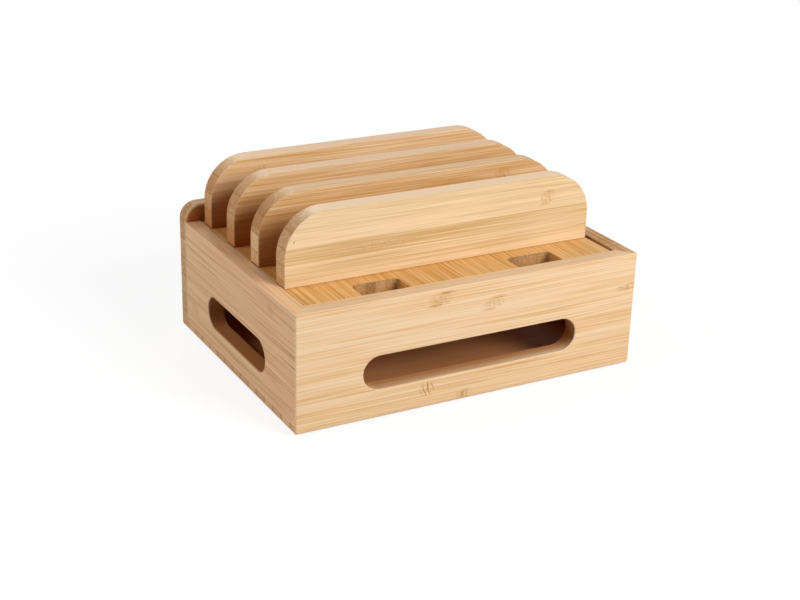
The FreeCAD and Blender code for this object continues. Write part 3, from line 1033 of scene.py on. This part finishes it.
@dataclass(frozen=True)
class Clouded:
    """Finish of a small fitting, clouded between two colours; lengths are in millimetres.

    Attributes:
        name: Name of the finish.
        plain: Colour between the clouds.
        clouded: Colour of the clouds.
        cloud: Pattern of the clouds.
        cloud_edge: Where in the pattern a cloud starts and where it is full.
        relief: Pattern of the surface.
        relief_depth: Depth of the relief.
        relief_strength: How much of the relief shows.
        roughness: Mean roughness.
        roughness_spread: How far the clouds change it.
        metallic: 1 for a metal.
        fleck: Pattern of the flecks, if there are any.
        fleck_edge: Where in that pattern a fleck starts and where it is full.
        fleck_share: How strong the flecks are.
    """

    name: str
    plain: Colour
    clouded: Colour
    cloud: Pattern
    cloud_edge: Span
    relief: Pattern
    relief_depth: float
    relief_strength: float
    roughness: float
    roughness_spread: float
    metallic: float = 0.0
    fleck: Pattern | None = None
    fleck_edge: Span = (0.16, 0.24)
    fleck_share: float = 0.5

    def material(self) -> bpy.types.Material:
        """Make the finish.

        Returns:
            The material.
        """
        shader = Shader(bpy.data.materials.new(self.name))
        place = shader.scaled(shader.metres(), PER_MM)
        cloud = self.cloud.draw(shader, place)
        share = shader.step(cloud, self.cloud_edge)
        if self.fleck:
            fleck = shader.step(self.fleck.draw(shader, place), self.fleck_edge)
            share = shader.math("MULTIPLY_ADD", fleck, self.fleck_share, share)
        return shader.surface(
            base_color=shader.blend(share, self.plain, self.clouded),
            metallic=self.metallic,
            roughness=shader.math("MULTIPLY_ADD", cloud, self.roughness_spread, self.roughness),
            normal=shader.bump(self.relief_strength, self.relief_depth, self.relief.draw(shader, place)),
        )


@dataclass(frozen=True)
class Metal(Clouded):
    """Bright fastener steel with turning marks and a faint stain."""

    plain: Colour = (0.58, 0.57, 0.55)
    clouded: Colour = (0.36, 0.33, 0.29)
    cloud: Pattern = Pattern((0.7, 0.7, 0.7), 4.0, 0.6)
    cloud_edge: Span = (-0.1, 0.3)
    relief: Pattern = Pattern((0.4, 0.4, 14.0))
    relief_depth: float = 0.02
    relief_strength: float = 0.2
    roughness: float = 0.32
    roughness_spread: float = 0.3
    metallic: float = 1.0


@dataclass(frozen=True)
class Rubber(Clouded):
    """Grey rubber of the stick-on feet, with a fine moulded grain and dust."""

    plain: Colour = (0.035, 0.034, 0.033)
    clouded: Colour = (0.09, 0.086, 0.08)
    cloud: Pattern = Pattern((0.6, 0.6, 0.6), 4.0, 0.65)
    cloud_edge: Span = (-0.15, 0.3)
    relief: Pattern = Pattern((5.0, 5.0, 5.0))
    relief_depth: float = 0.04
    relief_strength: float = 0.3
    roughness: float = 0.72
    roughness_spread: float = 0.2


@dataclass(frozen=True)
class Beech(Clouded):
    """Plain turned hardwood of the dowels, with its short dark flecks."""

    plain: Colour = (0.66, 0.45, 0.27)
    clouded: Colour = (0.46, 0.27, 0.13)
    cloud: Pattern = Pattern((1.2, 0.08, 1.2), 3.0, 0.6)
    cloud_edge: Span = (-0.3, 0.35)
    relief: Pattern = Pattern((1.2, 0.08, 1.2), 3.0, 0.6)
    relief_depth: float = 0.03
    relief_strength: float = 0.2
    roughness: float = 0.62
    roughness_spread: float = 0.2
    fleck: Pattern | None = Pattern((2.5, 0.5, 2.5), 1.0)


def sheen_graded_tones(count: int, left: float, fall: float, spread: float, seed: int) -> tuple[float, ...]:
    """Tones of a number of strips that grow paler from the left by a fall each, with a random spread; the
    paler right side is a painted sheen.
    """
    draws = [random.Random(index + seed).random() for index in range(count)]
    return tuple(left - fall * index + spread * draw for index, draw in enumerate(draws))


WALL_STRIP = 9.2
FRONT_DIVIDER_STRIP = 7.0
DIVIDER_STRIP = 8.1
DECK_STRIP = 4.8
BASE_STRIP = 8.9

# Warmer tones of the left wall stand in for the warm look of its shaded side: painted shade.
LEFT_SHADE_TONES = Tones(pale=(0.95, 0.62, 0.36), middle=(0.855, 0.50, 0.25), dark=(0.58, 0.29, 0.12))
RIGHT_TONES = Tones(dark=(0.46, 0.235, 0.10))
# Darker brown of the back panel: painted shade on its top.
BACK_SHADE_TONES = Tones(dark=(0.54, 0.265, 0.10), end_pale=(0.91, 0.585, 0.33), end_dark=(0.47, 0.225, 0.09))
BASE_TONES = Tones(end_pale=(0.90, 0.56, 0.30), end_dark=(0.74, 0.41, 0.195))
DECK_TONES = Tones(
    pale=(0.91, 0.58, 0.265),
    middle=(0.84, 0.465, 0.16),
    dark=(0.64, 0.30, 0.075),
    shade=(0.66, 0.20, 0.02),
    end_pale=(0.625, 0.375, 0.168),
    end_dark=(0.187, 0.085, 0.027),
    worn_and_highlight=(0.86, 0.58, 0.30),
)
FRONT_DIVIDER_TONES = Tones(
    pale=(0.90, 0.665, 0.415),
    middle=(0.76, 0.54, 0.29),
    dark=(0.625, 0.37, 0.14),
    top_sheen=(0.99, 0.72, 0.475),
)
DIVIDER_TONES = Tones(pale=(0.84, 0.60, 0.365), middle=(0.76, 0.483, 0.235), dark=(0.62, 0.343, 0.12))
REAR_DIVIDER_TONES = Tones(pale=(0.90, 0.665, 0.415), middle=(0.815, 0.54, 0.28), dark=(0.68, 0.385, 0.145))

FRONT_WALL = Bamboo(
    "front_wall_bamboo", Axis.X, Axis.Z, strip=WALL_STRIP, start=1.0,
    tones=(0.36, 0.33, 0.28, 0.24, 0.20, 0.22), seed=11, fibre=1.1, thread=1.6,
    knuckles=(
        Knuckle(-17.0, 51.3, 7.5, 3.6, cloud=0.6, strokes=0.1, streaks=0.95),
        Knuckle(9.5, 45.0, 7.0, 3.6, cloud=0.45, strokes=0.12, streaks=0.7),
        Knuckle(-22.5, 10.4, 4.6, 4.2, cloud=0.2, strokes=0.9, streaks=0.1),
        Knuckle(-4.5, 3.6, 4.5, 3.4, cloud=0.8, strokes=0.1, streaks=0.3),
        Knuckle(82.0, 40.5, 9.0, 1.8, cloud=0.9, strokes=0.0, streaks=0.8),
    ),
)
LEFT_WALL = Bamboo(
    "left_wall_bamboo", Axis.Y, Axis.Z, strip=WALL_STRIP, start=1.0,
    tones=(0.34, 0.26, 0.34, 0.40, 0.26, 0.30), colours=LEFT_SHADE_TONES, seed=12, fibre=1.3, thread=1.7,
    hollow_shade=0.8,
    knuckles=(
        Knuckle(-40.0, 49.5, 4.5, 3.2, cloud=0.3, strokes=0.35, streaks=0.2),
        Knuckle(46.0, 16.0, 6.5, 3.4, cloud=0.3, strokes=0.3, streaks=0.3),
    ),
)
RIGHT_WALL = Bamboo(
    "right_wall_bamboo", Axis.Y, Axis.Z, strip=WALL_STRIP, start=1.0,
    tones=(0.3, 0.34, 0.26, 0.3, 0.36, 0.72), colours=RIGHT_TONES, seed=13,
    knuckles=(
        Knuckle(-46.0, 56.0, 15.0, 12.0, cloud=0.7, strokes=0.15, streaks=0.0),
        Knuckle(22.0, 9.0, 6.5, 3.6, cloud=0.35),
    ),
)
# Its dark top strip and top end block are painted shade.
BACK_PANEL = Bamboo(
    "back_panel_bamboo", Axis.X, Axis.Z, strip=WALL_STRIP, start=1.0,
    tones=(0.32, 0.36, 0.26, 0.34, 0.28, 0.5, 0.85), colours=BACK_SHADE_TONES,
    blocks=(0.45, 0.6, 0.4, 0.6, 0.45, 0.65, 0.9), seed=14, rear_shade=0.85,
    knuckles=(
        Knuckle(34.0, 23.0, 6.5, 3.8, cloud=0.35),
        Knuckle(-47.0, 41.0, 6.5, 3.8),
        Knuckle(-12.0, 59.0, 6.0, 3.2, strokes=0.3, streaks=0.3),
    ),
)
BASE_BOARD = Bamboo(
    "base_board_bamboo", Axis.X, Axis.Y, strip=BASE_STRIP, start=-68.9,
    tones=(0.36, 0.36, 0.34, 0.42, 0.36, 0.44, 0.38, 0.42, 0.34, 0.40, 0.38, 0.44, 0.36, 0.40),
    colours=BASE_TONES, seed=15, tick=0.45, tick_width=1.3,
    knuckles=(
        Knuckle(-4.5, -65.0, 4.5, 3.0, cloud=0.8, strokes=0.1, streaks=0.4),
        Knuckle(-21.0, -22.8, 4.0, 2.6, cloud=0.4, strokes=0.4, streaks=0.3),
        Knuckle(11.0, -33.0, 4.0, 2.6, cloud=0.4, strokes=0.4, streaks=0.3),
        Knuckle(48.0, 20.0, 6.0, 3.4, cloud=0.35),
        Knuckle(-55.0, 40.0, 6.0, 3.4, cloud=0.35),
    ),
)
# Deck strips paler to the right: painted sheen.
DECK_BOARD = Bamboo(
    "deck_board_bamboo", Axis.Y, Axis.X, strip=DECK_STRIP, start=-76.8,
    tones=sheen_graded_tones(count=32, left=0.53, fall=0.0103, spread=0.16, seed=90),
    colours=DECK_TONES, seed=16, tick=0.2, thread=3.4, hollow_shade=0.15, bay_shade=0.42, foot_shade=0.55,
)
DIVIDER_BAMBOO = {
    "front_divider": Bamboo(
        "front_divider_bamboo", Axis.X, Axis.Z, strip=FRONT_DIVIDER_STRIP, start=51.8,
        tones=(0.28, 0.38, 0.62, 0.2, 0.28, 0.32), colours=FRONT_DIVIDER_TONES,
        blocks=(0.8, 0.5, 0.45, 0.55, 0.75, 0.8), seed=21, fibre=1.1, bay_shade=0.5, top_sheen=0.85,
        knuckles=(
            Knuckle(53.0, 78.2, 4.6, 4.0, cloud=0.55, strokes=0.25, streaks=0.5),
            Knuckle(-28.0, 68.8, 26.0, 2.0, cloud=0.4, strokes=0.1, streaks=0.1),
            Knuckle(-72.5, 75.7, 0.9, 0.5, cloud=0.9, strokes=0.9, streaks=0.4),
            Knuckle(-72.5, 77.9, 0.7, 0.45, cloud=0.8, strokes=0.8, streaks=0.4),
        ),
    ),
    "second_divider": Bamboo(
        "second_divider_bamboo", Axis.X, Axis.Z, strip=DIVIDER_STRIP, start=54.3,
        tones=(0.56, 0.58, 0.64, 0.62, 0.52), colours=DIVIDER_TONES,
        blocks=(0.35, 0.0, 0.8, 0.95, 0.7), seams=(78.6,), seed=23, fibre=1.3, thread=1.9,
        bay_shade=0.5, top_sheen=0.2, gap_shadow=0.9, on_deck=True,
        knuckles=(Knuckle(45.5, 82.5, 6.0, 3.4, cloud=0.55, strokes=0.3, streaks=0.5),),
    ),
    "third_divider": Bamboo(
        "third_divider_bamboo", Axis.X, Axis.Z, strip=DIVIDER_STRIP, start=54.8,
        tones=(0.58, 0.62, 0.56, 0.54, 0.5), colours=DIVIDER_TONES,
        blocks=(0.4, 0.5, 0.5, 0.55, 0.5), seed=22, fibre=1.3, thread=1.9,
        bay_shade=0.5, rear_shade=0.7, top_sheen=0.65, gap_shadow=0.9, on_deck=True,
        knuckles=(Knuckle(20.0, 80.0, 6.0, 3.0, strokes=0.3, streaks=0.3),),
    ),
    "rear_divider": Bamboo(
        "rear_divider_bamboo", Axis.X, Axis.Z, strip=DIVIDER_STRIP, start=55.9,
        tones=(0.44, 0.46, 0.4, 0.42, 0.38), colours=REAR_DIVIDER_TONES,
        blocks=(0.55, 0.45, 0.6, 0.45, 0.5), seed=24, fibre=1.2, thread=1.7,
        bay_shade=0.5, rear_shade=0.7, top_sheen=0.75, gap_shadow=0.9, on_deck=True,
        knuckles=(Knuckle(-52.0, 81.0, 6.0, 3.0, strokes=0.3, streaks=0.3),),
    ),
}
CLEAT_BAMBOO = Bamboo(
    "cleat_bamboo", Axis.Y, Axis.Z, strip=WALL_STRIP, start=40.0, tones=(0.4, 0.46), seed=31,
)


# Sub-assemblies


def dress_node(node: str, finish: Bamboo | Clouded) -> None:
    """Give a part of the frame its finish.

    Args:
        node: Name of the part.
        finish: The finish.
    """
    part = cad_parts[node]
    part.material_slots[0].material = finish.material()
    log.info("dressed %s in %s", node, finish.name)


def set_board(mesh: BoardMesh, node: str, body: str, finish: Bamboo) -> None:
    """Put a finished board in the place of the part that it stands for.

    Args:
        mesh: The board.
        node: Part of the frame that it stands for.
        body: Body of the frame that it moves with.
        finish: The bamboo that it is made of.
    """
    piece = mesh.finish(f"{node}_bamboo")
    piece.data.materials.append(finish.material())
    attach(piece, body)
    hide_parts(node)
    log.info("built %s on %s", piece.name, body)


@dataclass
class CableBox:
    """The low box: base board, three slotted walls and the tall back panel."""

    body: str = "box"
    edge_ease: float = 0.5 * MM
    corner_ease: float = 0.6 * MM
    base_edge_radius: float = 1.5 * MM
    back_corner_radius: float = 8.0 * MM
    back_ease: float = 1.2 * MM
    slot_height: float = 15.5 * MM
    slot_middle: float = 17.1 * MM
    front_slot_length: float = 107.0 * MM
    side_slot_length: float = 64.4 * MM
    side_slot_middle: float = 63.0 * MM
    brad_hole: float = 1.5 * MM
    brad_head_hole: float = 2.5 * MM
    brad_depth: float = 14.05 * MM
    brad_corner_distance: float = 20.0 * MM
    dowel_hole: float = 4.1 * MM
    dowel_edge_distance: float = 8.0 * MM
    dowel_depth_in_wall: float = 10.75 * MM
    dowel_depth_in_back: float = 5.75 * MM

    def build(self) -> None:
        """Build the boards, then dress the fasteners, cleats and feet of the frame."""
        self.base_board()
        self.front_wall()
        self.side_wall("left_wall", -1.0, LEFT_WALL)
        self.side_wall("right_wall", 1.0, RIGHT_WALL)
        self.back_panel()
        self.dress_hardware()

    def wall_middle(self, node: str) -> float:
        """Middle of a side wall's thickness, from the frame."""
        low, high = extent(node)
        return (low.x + high.x) / 2

    def front_brads(self) -> list[Place]:
        """Places of the brads under the front wall, in plan.

        Returns:
            The two places.
        """
        low, high = extent("base_board")
        inset = self.wall_middle("left_wall") - low.x
        run = self.brad_corner_distance
        return [(x, low.y + inset) for x in (low.x + run, high.x - run)]

    def side_brads(self, node: str) -> list[Place]:
        """Places of the brads under a side wall, in plan.

        Args:
            node: The wall.

        Returns:
            The two places.
        """
        low, high = extent("base_board")
        run = self.brad_corner_distance
        return [(self.wall_middle(node), y) for y in (low.y + run, high.y - run)]

    def dowels(self, node: str) -> list[Place]:
        """Places of the dowels between a side wall and the back panel, seen from the front.

        Args:
            node: The wall.

        Returns:
            The two places.
        """
        low, high = extent(node)
        inset = self.dowel_edge_distance
        return [(self.wall_middle(node), z) for z in (low.z + inset, high.z - inset)]

    def base_board(self) -> None:
        """Thin board under the walls, round along its lower edges."""
        low, high = extent("base_board")
        ease = self.corner_ease
        board = BoardMesh()
        board.prism((
            (low.x + ease, low.y),
            (high.x - ease, low.y),
            (high.x, low.y + ease),
            (high.x, high.y),
            (low.x, high.y),
            (low.x, low.y + ease),
        ), low.z, high.z)
        for side in SIDES:
            board.wear_and_highlight(Vector((side, -1.0, 0.0)))
        under = board.edges(lambda p: close_to(p.z, low.z))
        butted = board.edges(lambda p: close_to(p.y, high.y))
        board.ease([edge for edge in under if edge not in butted], self.base_edge_radius)
        brads = [*self.front_brads(), *self.side_brads("left_wall"), *self.side_brads("right_wall")]
        board.pierce(Axis.Z, Opening.holes(brads, self.brad_head_hole))
        set_board(board, "base_board", self.body, BASE_BOARD)

    def front_wall(self) -> None:
        """Front wall, mitred at both ends, with the long cable slot."""
        low, high = extent("front_wall")
        corner = extent("base_board")[0].x
        ease, thick = self.corner_ease, high.y - low.y
        board = BoardMesh()
        board.prism((
            (corner + ease, low.y),
            (-corner - ease, low.y),
            (-corner - ease / 2, low.y + ease / 2),
            (-corner - thick, high.y),
            (corner + thick, high.y),
            (corner + ease / 2, low.y + ease / 2),
        ), low.z, high.z)
        for side in SIDES:
            board.wear_and_highlight(Vector((side, -1.0, 0.0)))
        board.ease(board.edges(lambda p: close_to(p.y, low.y) and close_to(p.z, high.z)), self.edge_ease)
        middle = ((low.x + high.x) / 2, low.z + self.slot_middle)
        slot = Opening.slot(middle, self.front_slot_length, self.slot_height)
        self.cut_slot(board, Axis.Y, low.y, slot)
        board.drill(Axis.Z, self.brad_depth, Opening.holes(self.front_brads(), self.brad_hole))
        set_board(board, "front_wall", self.body, FRONT_WALL)

    def cut_slot(self, board: BoardMesh, axis: Axis, outside: float, slot: Opening) -> None:
        """Cut a cable slot through a wall and ease its outer rim.

        Args:
            board: The wall in the making.
            axis: Axis that the slot runs along.
            outside: Where the wall's outer face cuts that axis.
            slot: Outline of the slot.
        """
        board.pierce(axis, [slot])
        rim = board.edges(lambda p: close_to(p[axis.value], outside) and slot.holds(p, axis))
        board.ease(rim, self.edge_ease)

    def side_wall(self, node: str, side: float, finish: Bamboo) -> None:
        """Side wall, mitred at the front and butted to the back panel, with its cable slot.

        Args:
            node: Part of the frame that it stands for.
            side: -1 on the left, 1 on the right.
            finish: The bamboo that it is made of.
        """
        low, high = extent(node)
        front = extent("base_board")[0].y
        thick = high.x - low.x
        outside, inside = (low.x, high.x) if side < 0 else (high.x, low.x)
        ease = self.corner_ease
        board = BoardMesh()
        board.prism((
            (outside, front + ease),
            (outside - side * ease / 2, front + ease / 2),
            (inside, front + thick),
            (inside, high.y),
            (outside, high.y),
        ), low.z, high.z)
        board.wear_and_highlight(Vector((side, -1.0, 0.0)))
        board.ease(board.edges(lambda p: close_to(p.x, outside) and close_to(p.z, high.z)), self.edge_ease)
        middle = (front + self.side_slot_middle, low.z + self.slot_middle)
        slot = Opening.slot(middle, self.side_slot_length, self.slot_height)
        self.cut_slot(board, Axis.X, outside, slot)
        board.drill(Axis.Y, -self.dowel_depth_in_wall, Opening.holes(self.dowels(node), self.dowel_hole))
        board.drill(Axis.Z, self.brad_depth, Opening.holes(self.side_brads(node), self.brad_hole))
        set_board(board, node, self.body, finish)

    def back_panel(self) -> None:
        """Tall back panel with rounded upper corners and well eased rims."""
        low, high = extent("back_panel")
        board = BoardMesh()
        board.block(low, high)
        board.round(board.corners(low, high, high.z), self.back_corner_radius, CORNER_SEGMENTS)
        board.round(board.corners(low, high, low.z), self.base_edge_radius, EASE_SEGMENTS)
        board.ease(board.rims(low, high), self.back_ease)
        dowels = [*self.dowels("left_wall"), *self.dowels("right_wall")]
        board.drill(Axis.Y, self.dowel_depth_in_back, Opening.holes(dowels, self.dowel_hole))
        set_board(board, "back_panel", self.body, BACK_PANEL)

    def dress_hardware(self) -> None:
        """Finish the cleats, dowels, brads and feet."""
        for node in ("left_cleat", "right_cleat"):
            dress_node(node, CLEAT_BAMBOO)
        dress_node("back_panel_dowels", Beech("dowel_beech"))
        dress_node("base_brads", Metal("brad_steel_bright"))
        for row in ("front", "rear"):
            for side in ("left", "right"):
                dress_node(f"{row}_{side}_foot", Rubber("foot_rubber_grey"))


@dataclass
class DividerDeck:
    """The loose deck with its cable openings and four upright dividers."""

    body: str = "deck"
    edge_ease: float = 0.5 * MM
    opening_width: float = 23.0 * MM
    opening_depth: float = 11.7 * MM
    opening_spacing: float = 77.0 * MM
    opening_radius: float = 3.0 * MM
    divider_corner_radius: float = 20.0 * MM
    divider_ease: float = 0.4 * MM
    divider_wear_and_highlight: float = 0.4
    screw_spacing: float = 100.0 * MM
    screw_hole: float = 3.6 * MM
    screw_head_hole: float = 7.1 * MM
    pilot_depth: float = 17.75 * MM

    def build(self) -> None:
        """Build the deck and its dividers, then dress the screws of the frame."""
        self.deck_board()
        for node, finish in DIVIDER_BAMBOO.items():
            self.divider(node, finish)
        dress_node("divider_screws", Metal("screw_steel_bright"))

    def screws(self, node: str) -> list[Place]:
        """Places of a divider's two screws, in plan."""
        middle = sum(extent(node), Vector()) / 2
        return [(middle.x + side * self.screw_spacing / 2, middle.y) for side in SIDES]

    def deck_screws(self) -> list[Place]:
        """Places of all the screws, in plan."""
        return [place for node in DIVIDER_BAMBOO for place in self.screws(node)]

    def on_screw_hole(self, point: Vector) -> bool:
        """Tell whether a point of the deck lies on the rim of a screw hole."""
        reaches = ((point.xy - Vector(place)).length for place in self.deck_screws())
        return any(close_to(reach, self.screw_hole / 2) for reach in reaches)

    def deck_board(self) -> None:
        """Deck with two open notches at its front edge and two cable openings in each bay."""
        low, high = extent("deck_board")
        half = self.opening_width / 2
        middles = [(low.x + high.x + side * self.opening_spacing) / 2 for side in SIDES]
        notch_back = low.y + self.opening_depth
        plan = [(low.x, low.y)]
        for middle in middles:
            plan += [
                (middle - half, low.y),
                (middle - half, notch_back),
                (middle + half, notch_back),
                (middle + half, low.y),
            ]
        plan += [(high.x, low.y), (high.x, high.y), (low.x, high.y)]
        board = BoardMesh()
        board.prism(plan, low.z, high.z)
        in_notch = board.edges(lambda p: close_to(p.y, notch_back))
        upright = [edge for edge in in_notch if not close_to(edge.verts[0].co.z, edge.verts[1].co.z)]
        board.round(upright, self.opening_radius, ARC_SEGMENTS)
        board.ease(self.deck_rim(board, low, high), self.edge_ease)
        screw_holes = Opening.holes(self.deck_screws(), self.screw_hole)
        board.pierce(Axis.Z, self.bay_openings(middles) + screw_holes)
        sinks = board.edges(lambda p: close_to(p.z, low.z) and self.on_screw_hole(p))
        board.round(sinks, (self.screw_head_hole - self.screw_hole) / 2, 1)
        set_board(board, "deck_board", self.body, DECK_BOARD)

    def deck_rim(self, board: BoardMesh, low: Vector, high: Vector) -> list[BMEdge]:
        """Upper edges of the deck's outline, without those of its notches.

        Args:
            board: The deck in the making.
            low: Its lowest corner.
            high: Its highest corner.

        Returns:
            The edges found.
        """
        return board.edges(
            lambda p: close_to(p.z, high.z) and close_to(p.x, low.x),
            lambda p: close_to(p.z, high.z) and close_to(p.x, high.x),
            lambda p: close_to(p.z, high.z) and close_to(p.y, low.y),
            lambda p: close_to(p.z, high.z) and close_to(p.y, high.y),
        )

    def bay_openings(self, middles: Sequence[float]) -> list[Opening]:
        """Closed cable openings between the dividers.

        Args:
            middles: Middle of the left and of the right openings.

        Returns:
            The openings' outlines.
        """
        nodes = list(DIVIDER_BAMBOO)
        openings = []
        for before, behind in zip(nodes, nodes[1:]):
            bay = (extent(before)[1].y + extent(behind)[0].y) / 2
            for middle in middles:
                low = (middle - self.opening_width / 2, bay - self.opening_depth / 2)
                high = (middle + self.opening_width / 2, bay + self.opening_depth / 2)
                openings.append(Opening(low, high, self.opening_radius))
        return openings

    def divider(self, node: str, finish: Bamboo) -> None:
        """Upright divider with large round upper corners and eased rims.

        Args:
            node: Part of the frame that it stands for.
            finish: The bamboo that it is made of.
        """
        low, high = extent(node)
        board = BoardMesh()
        board.block(low, high)
        board.round(board.corners(low, high, high.z), self.divider_corner_radius, CORNER_SEGMENTS)
        foot = board.edges(lambda p: close_to(p.z, low.z))
        rims = [edge for edge in board.rims(low, high) if edge not in foot]
        board.ease(rims, self.divider_ease, self.divider_wear_and_highlight)
        board.drill(Axis.Z, self.pilot_depth, Opening.holes(self.screws(node), self.screw_hole))
        set_board(board, node, self.body, finish)


# Studio


@dataclass(frozen=True)
class Stand:
    """Place round the object from which a lamp or the camera faces it; angles are in degrees.

    Attributes:
        azimuth: Turn to the right of the front.
        elevation: Angle above the floor.
        distance: Way from the object, in metres.
        roll: Turn about the way to the object.
    """

    azimuth: float
    elevation: float
    distance: float
    roll: float = 0.0

    def hold(self, name: str, data: bpy.types.ID, target: Vector) -> bpy.types.Object:
        """Put a lamp or a camera in its place.

        Args:
            name: Name of the object.
            data: The lamp or camera.
            target: Point that it faces.

        Returns:
            The object.
        """
        azimuth, elevation = math.radians(self.azimuth), math.radians(self.elevation)
        flat = math.cos(elevation)
        away = Vector((math.sin(azimuth) * flat, -math.cos(azimuth) * flat, math.sin(elevation)))
        holder = bpy.data.objects.new(name, data)
        holder.location = target + away * self.distance
        holder.rotation_mode = "QUATERNION"
        tilt = Quaternion(Axis.Z.vector, math.radians(self.roll))
        holder.rotation_quaternion = (-away).to_track_quat("-Z", "Y") @ tilt
        bpy.context.scene.collection.objects.link(holder)
        return holder


@dataclass(frozen=True)
class Softbox:
    """Large soft lamp that faces the object.

    Attributes:
        name: Name of the lamp.
        stand: Where it stands.
        size: Length of its sides, in metres.
        level: How much light it gives at the object.
    """

    name: str
    stand: Stand
    size: float
    level: float

    def hang(self, target: Vector) -> None:
        """Hang the lamp.

        Args:
            target: Point that it faces.
        """
        lamp = bpy.data.lights.new(self.name, "AREA")
        lamp.shape = "SQUARE"
        lamp.size = self.size
        lamp.energy = self.level * (math.pi * self.stand.distance) ** 2
        self.stand.hold(self.name, lamp, target)


@dataclass
class Studio:
    """Pale floor, soft light and the camera at the photograph's angle."""

    target: tuple[float, float, float] = (-3.9 * MM, -5.3 * MM, 26.1 * MM)
    viewpoint: Stand = Stand(azimuth=-29.07, elevation=22.52, distance=0.70, roll=1.6)
    lens: float = 67.81
    sensor: float = 36.0
    floor_size: float = 12.0
    floor_albedo: float = 0.55
    seen_albedo: float = 0.18
    seen_glow: float = 0.87
    shadow_reach: Span = (0.22, 0.60)
    ambient: float = 0.02
    softboxes: tuple[Softbox, ...] = (
        Softbox("key_light", Stand(azimuth=22.0, elevation=31.0, distance=1.3), size=0.6, level=0.95),
        Softbox("left_fill", Stand(azimuth=-105.0, elevation=28.0, distance=1.6), size=0.9, level=0.45),
        Softbox("back_light", Stand(azimuth=175.0, elevation=30.0, distance=1.6), size=0.8, level=0.27),
    )

    def build(self) -> None:
        """Build the floor, the light and the camera."""
        self.floor()
        self.sky()
        for softbox in self.softboxes:
            softbox.hang(Vector(self.target))
        self.camera()
        bpy.context.scene.view_settings.view_transform = "Standard"
        log.info("set up the studio")

    def seen(self, shader: Shader) -> Socket:
        """Tell the rays that show the background from those that light the object.

        Args:
            shader: Nodes to write in.

        Returns:
            1 on a ray that shows the background, 0 on others.
        """
        path = shader.add("LightPath", {}).outputs
        shown = shader.math("MAXIMUM", path["Is Camera Ray"], path["Is Glossy Ray"])
        return shader.math("MAXIMUM", shown, path["Is Transmission Ray"])

    def floor(self) -> None:
        """Pale floor that keeps the object's shadow."""
        mesh = bmesh.new()
        bmesh.ops.create_grid(mesh, x_segments=1, y_segments=1, size=self.floor_size / 2)
        data = bpy.data.meshes.new("studio_floor")
        mesh.to_mesh(data)
        mesh.free()
        floor = bpy.data.objects.new("studio_floor", data)
        bpy.context.scene.collection.objects.link(floor)
        shader = Shader(bpy.data.materials.new("studio_floor_white"))
        plain = shader.add("BsdfDiffuse", {"Color": opaque((self.floor_albedo,) * 3)}).outputs[0]
        shown = shader.add("BsdfDiffuse", {"Color": opaque((self.seen_albedo,) * 3)}).outputs[0]
        glow = shader.add("Emission", {"Strength": self.seen_glow}).outputs[0]
        near = shader.add("AddShader", {0: shown, 1: glow}).outputs[0]
        white = shader.add("Emission", {"Strength": 1.0}).outputs[0]
        away = shader.step(shader.length(shader.metres()), self.shadow_reach)
        faded = shader.add("MixShader", {0: away, 1: near, 2: white}).outputs[0]
        mixed = shader.add("MixShader", {0: self.seen(shader), 1: plain, 2: faded}).outputs[0]
        shader.add("OutputMaterial", {"Surface": mixed})
        data.materials.append(shader.owner)

    def sky(self) -> None:
        """Even light from all round, which the camera sees as white."""
        world = bpy.data.worlds.new("studio_sky")
        bpy.context.scene.world = world
        shader = Shader(world)
        level = shader.add("MapRange", {"Value": self.seen(shader), "To Min": self.ambient}).outputs[0]
        light = shader.add("Background", {"Color": opaque((1.0,) * 3), "Strength": level}).outputs[0]
        shader.add("OutputWorld", {"Surface": light})

    def camera(self) -> None:
        """Camera at the photograph's angle."""
        lens = bpy.data.cameras.new("photo_camera")
        lens.lens = self.lens
        lens.sensor_width = self.sensor
        bpy.context.scene.camera = self.viewpoint.hold("photo_camera", lens, Vector(self.target))


def main() -> None:
    """Build the organizer and its studio."""
    logging.basicConfig(level=logging.INFO, format="%(name)s: %(message)s")
    CableBox().build()
    DividerDeck().build()
    Studio().build()


if __name__ == "__main__":
    main()
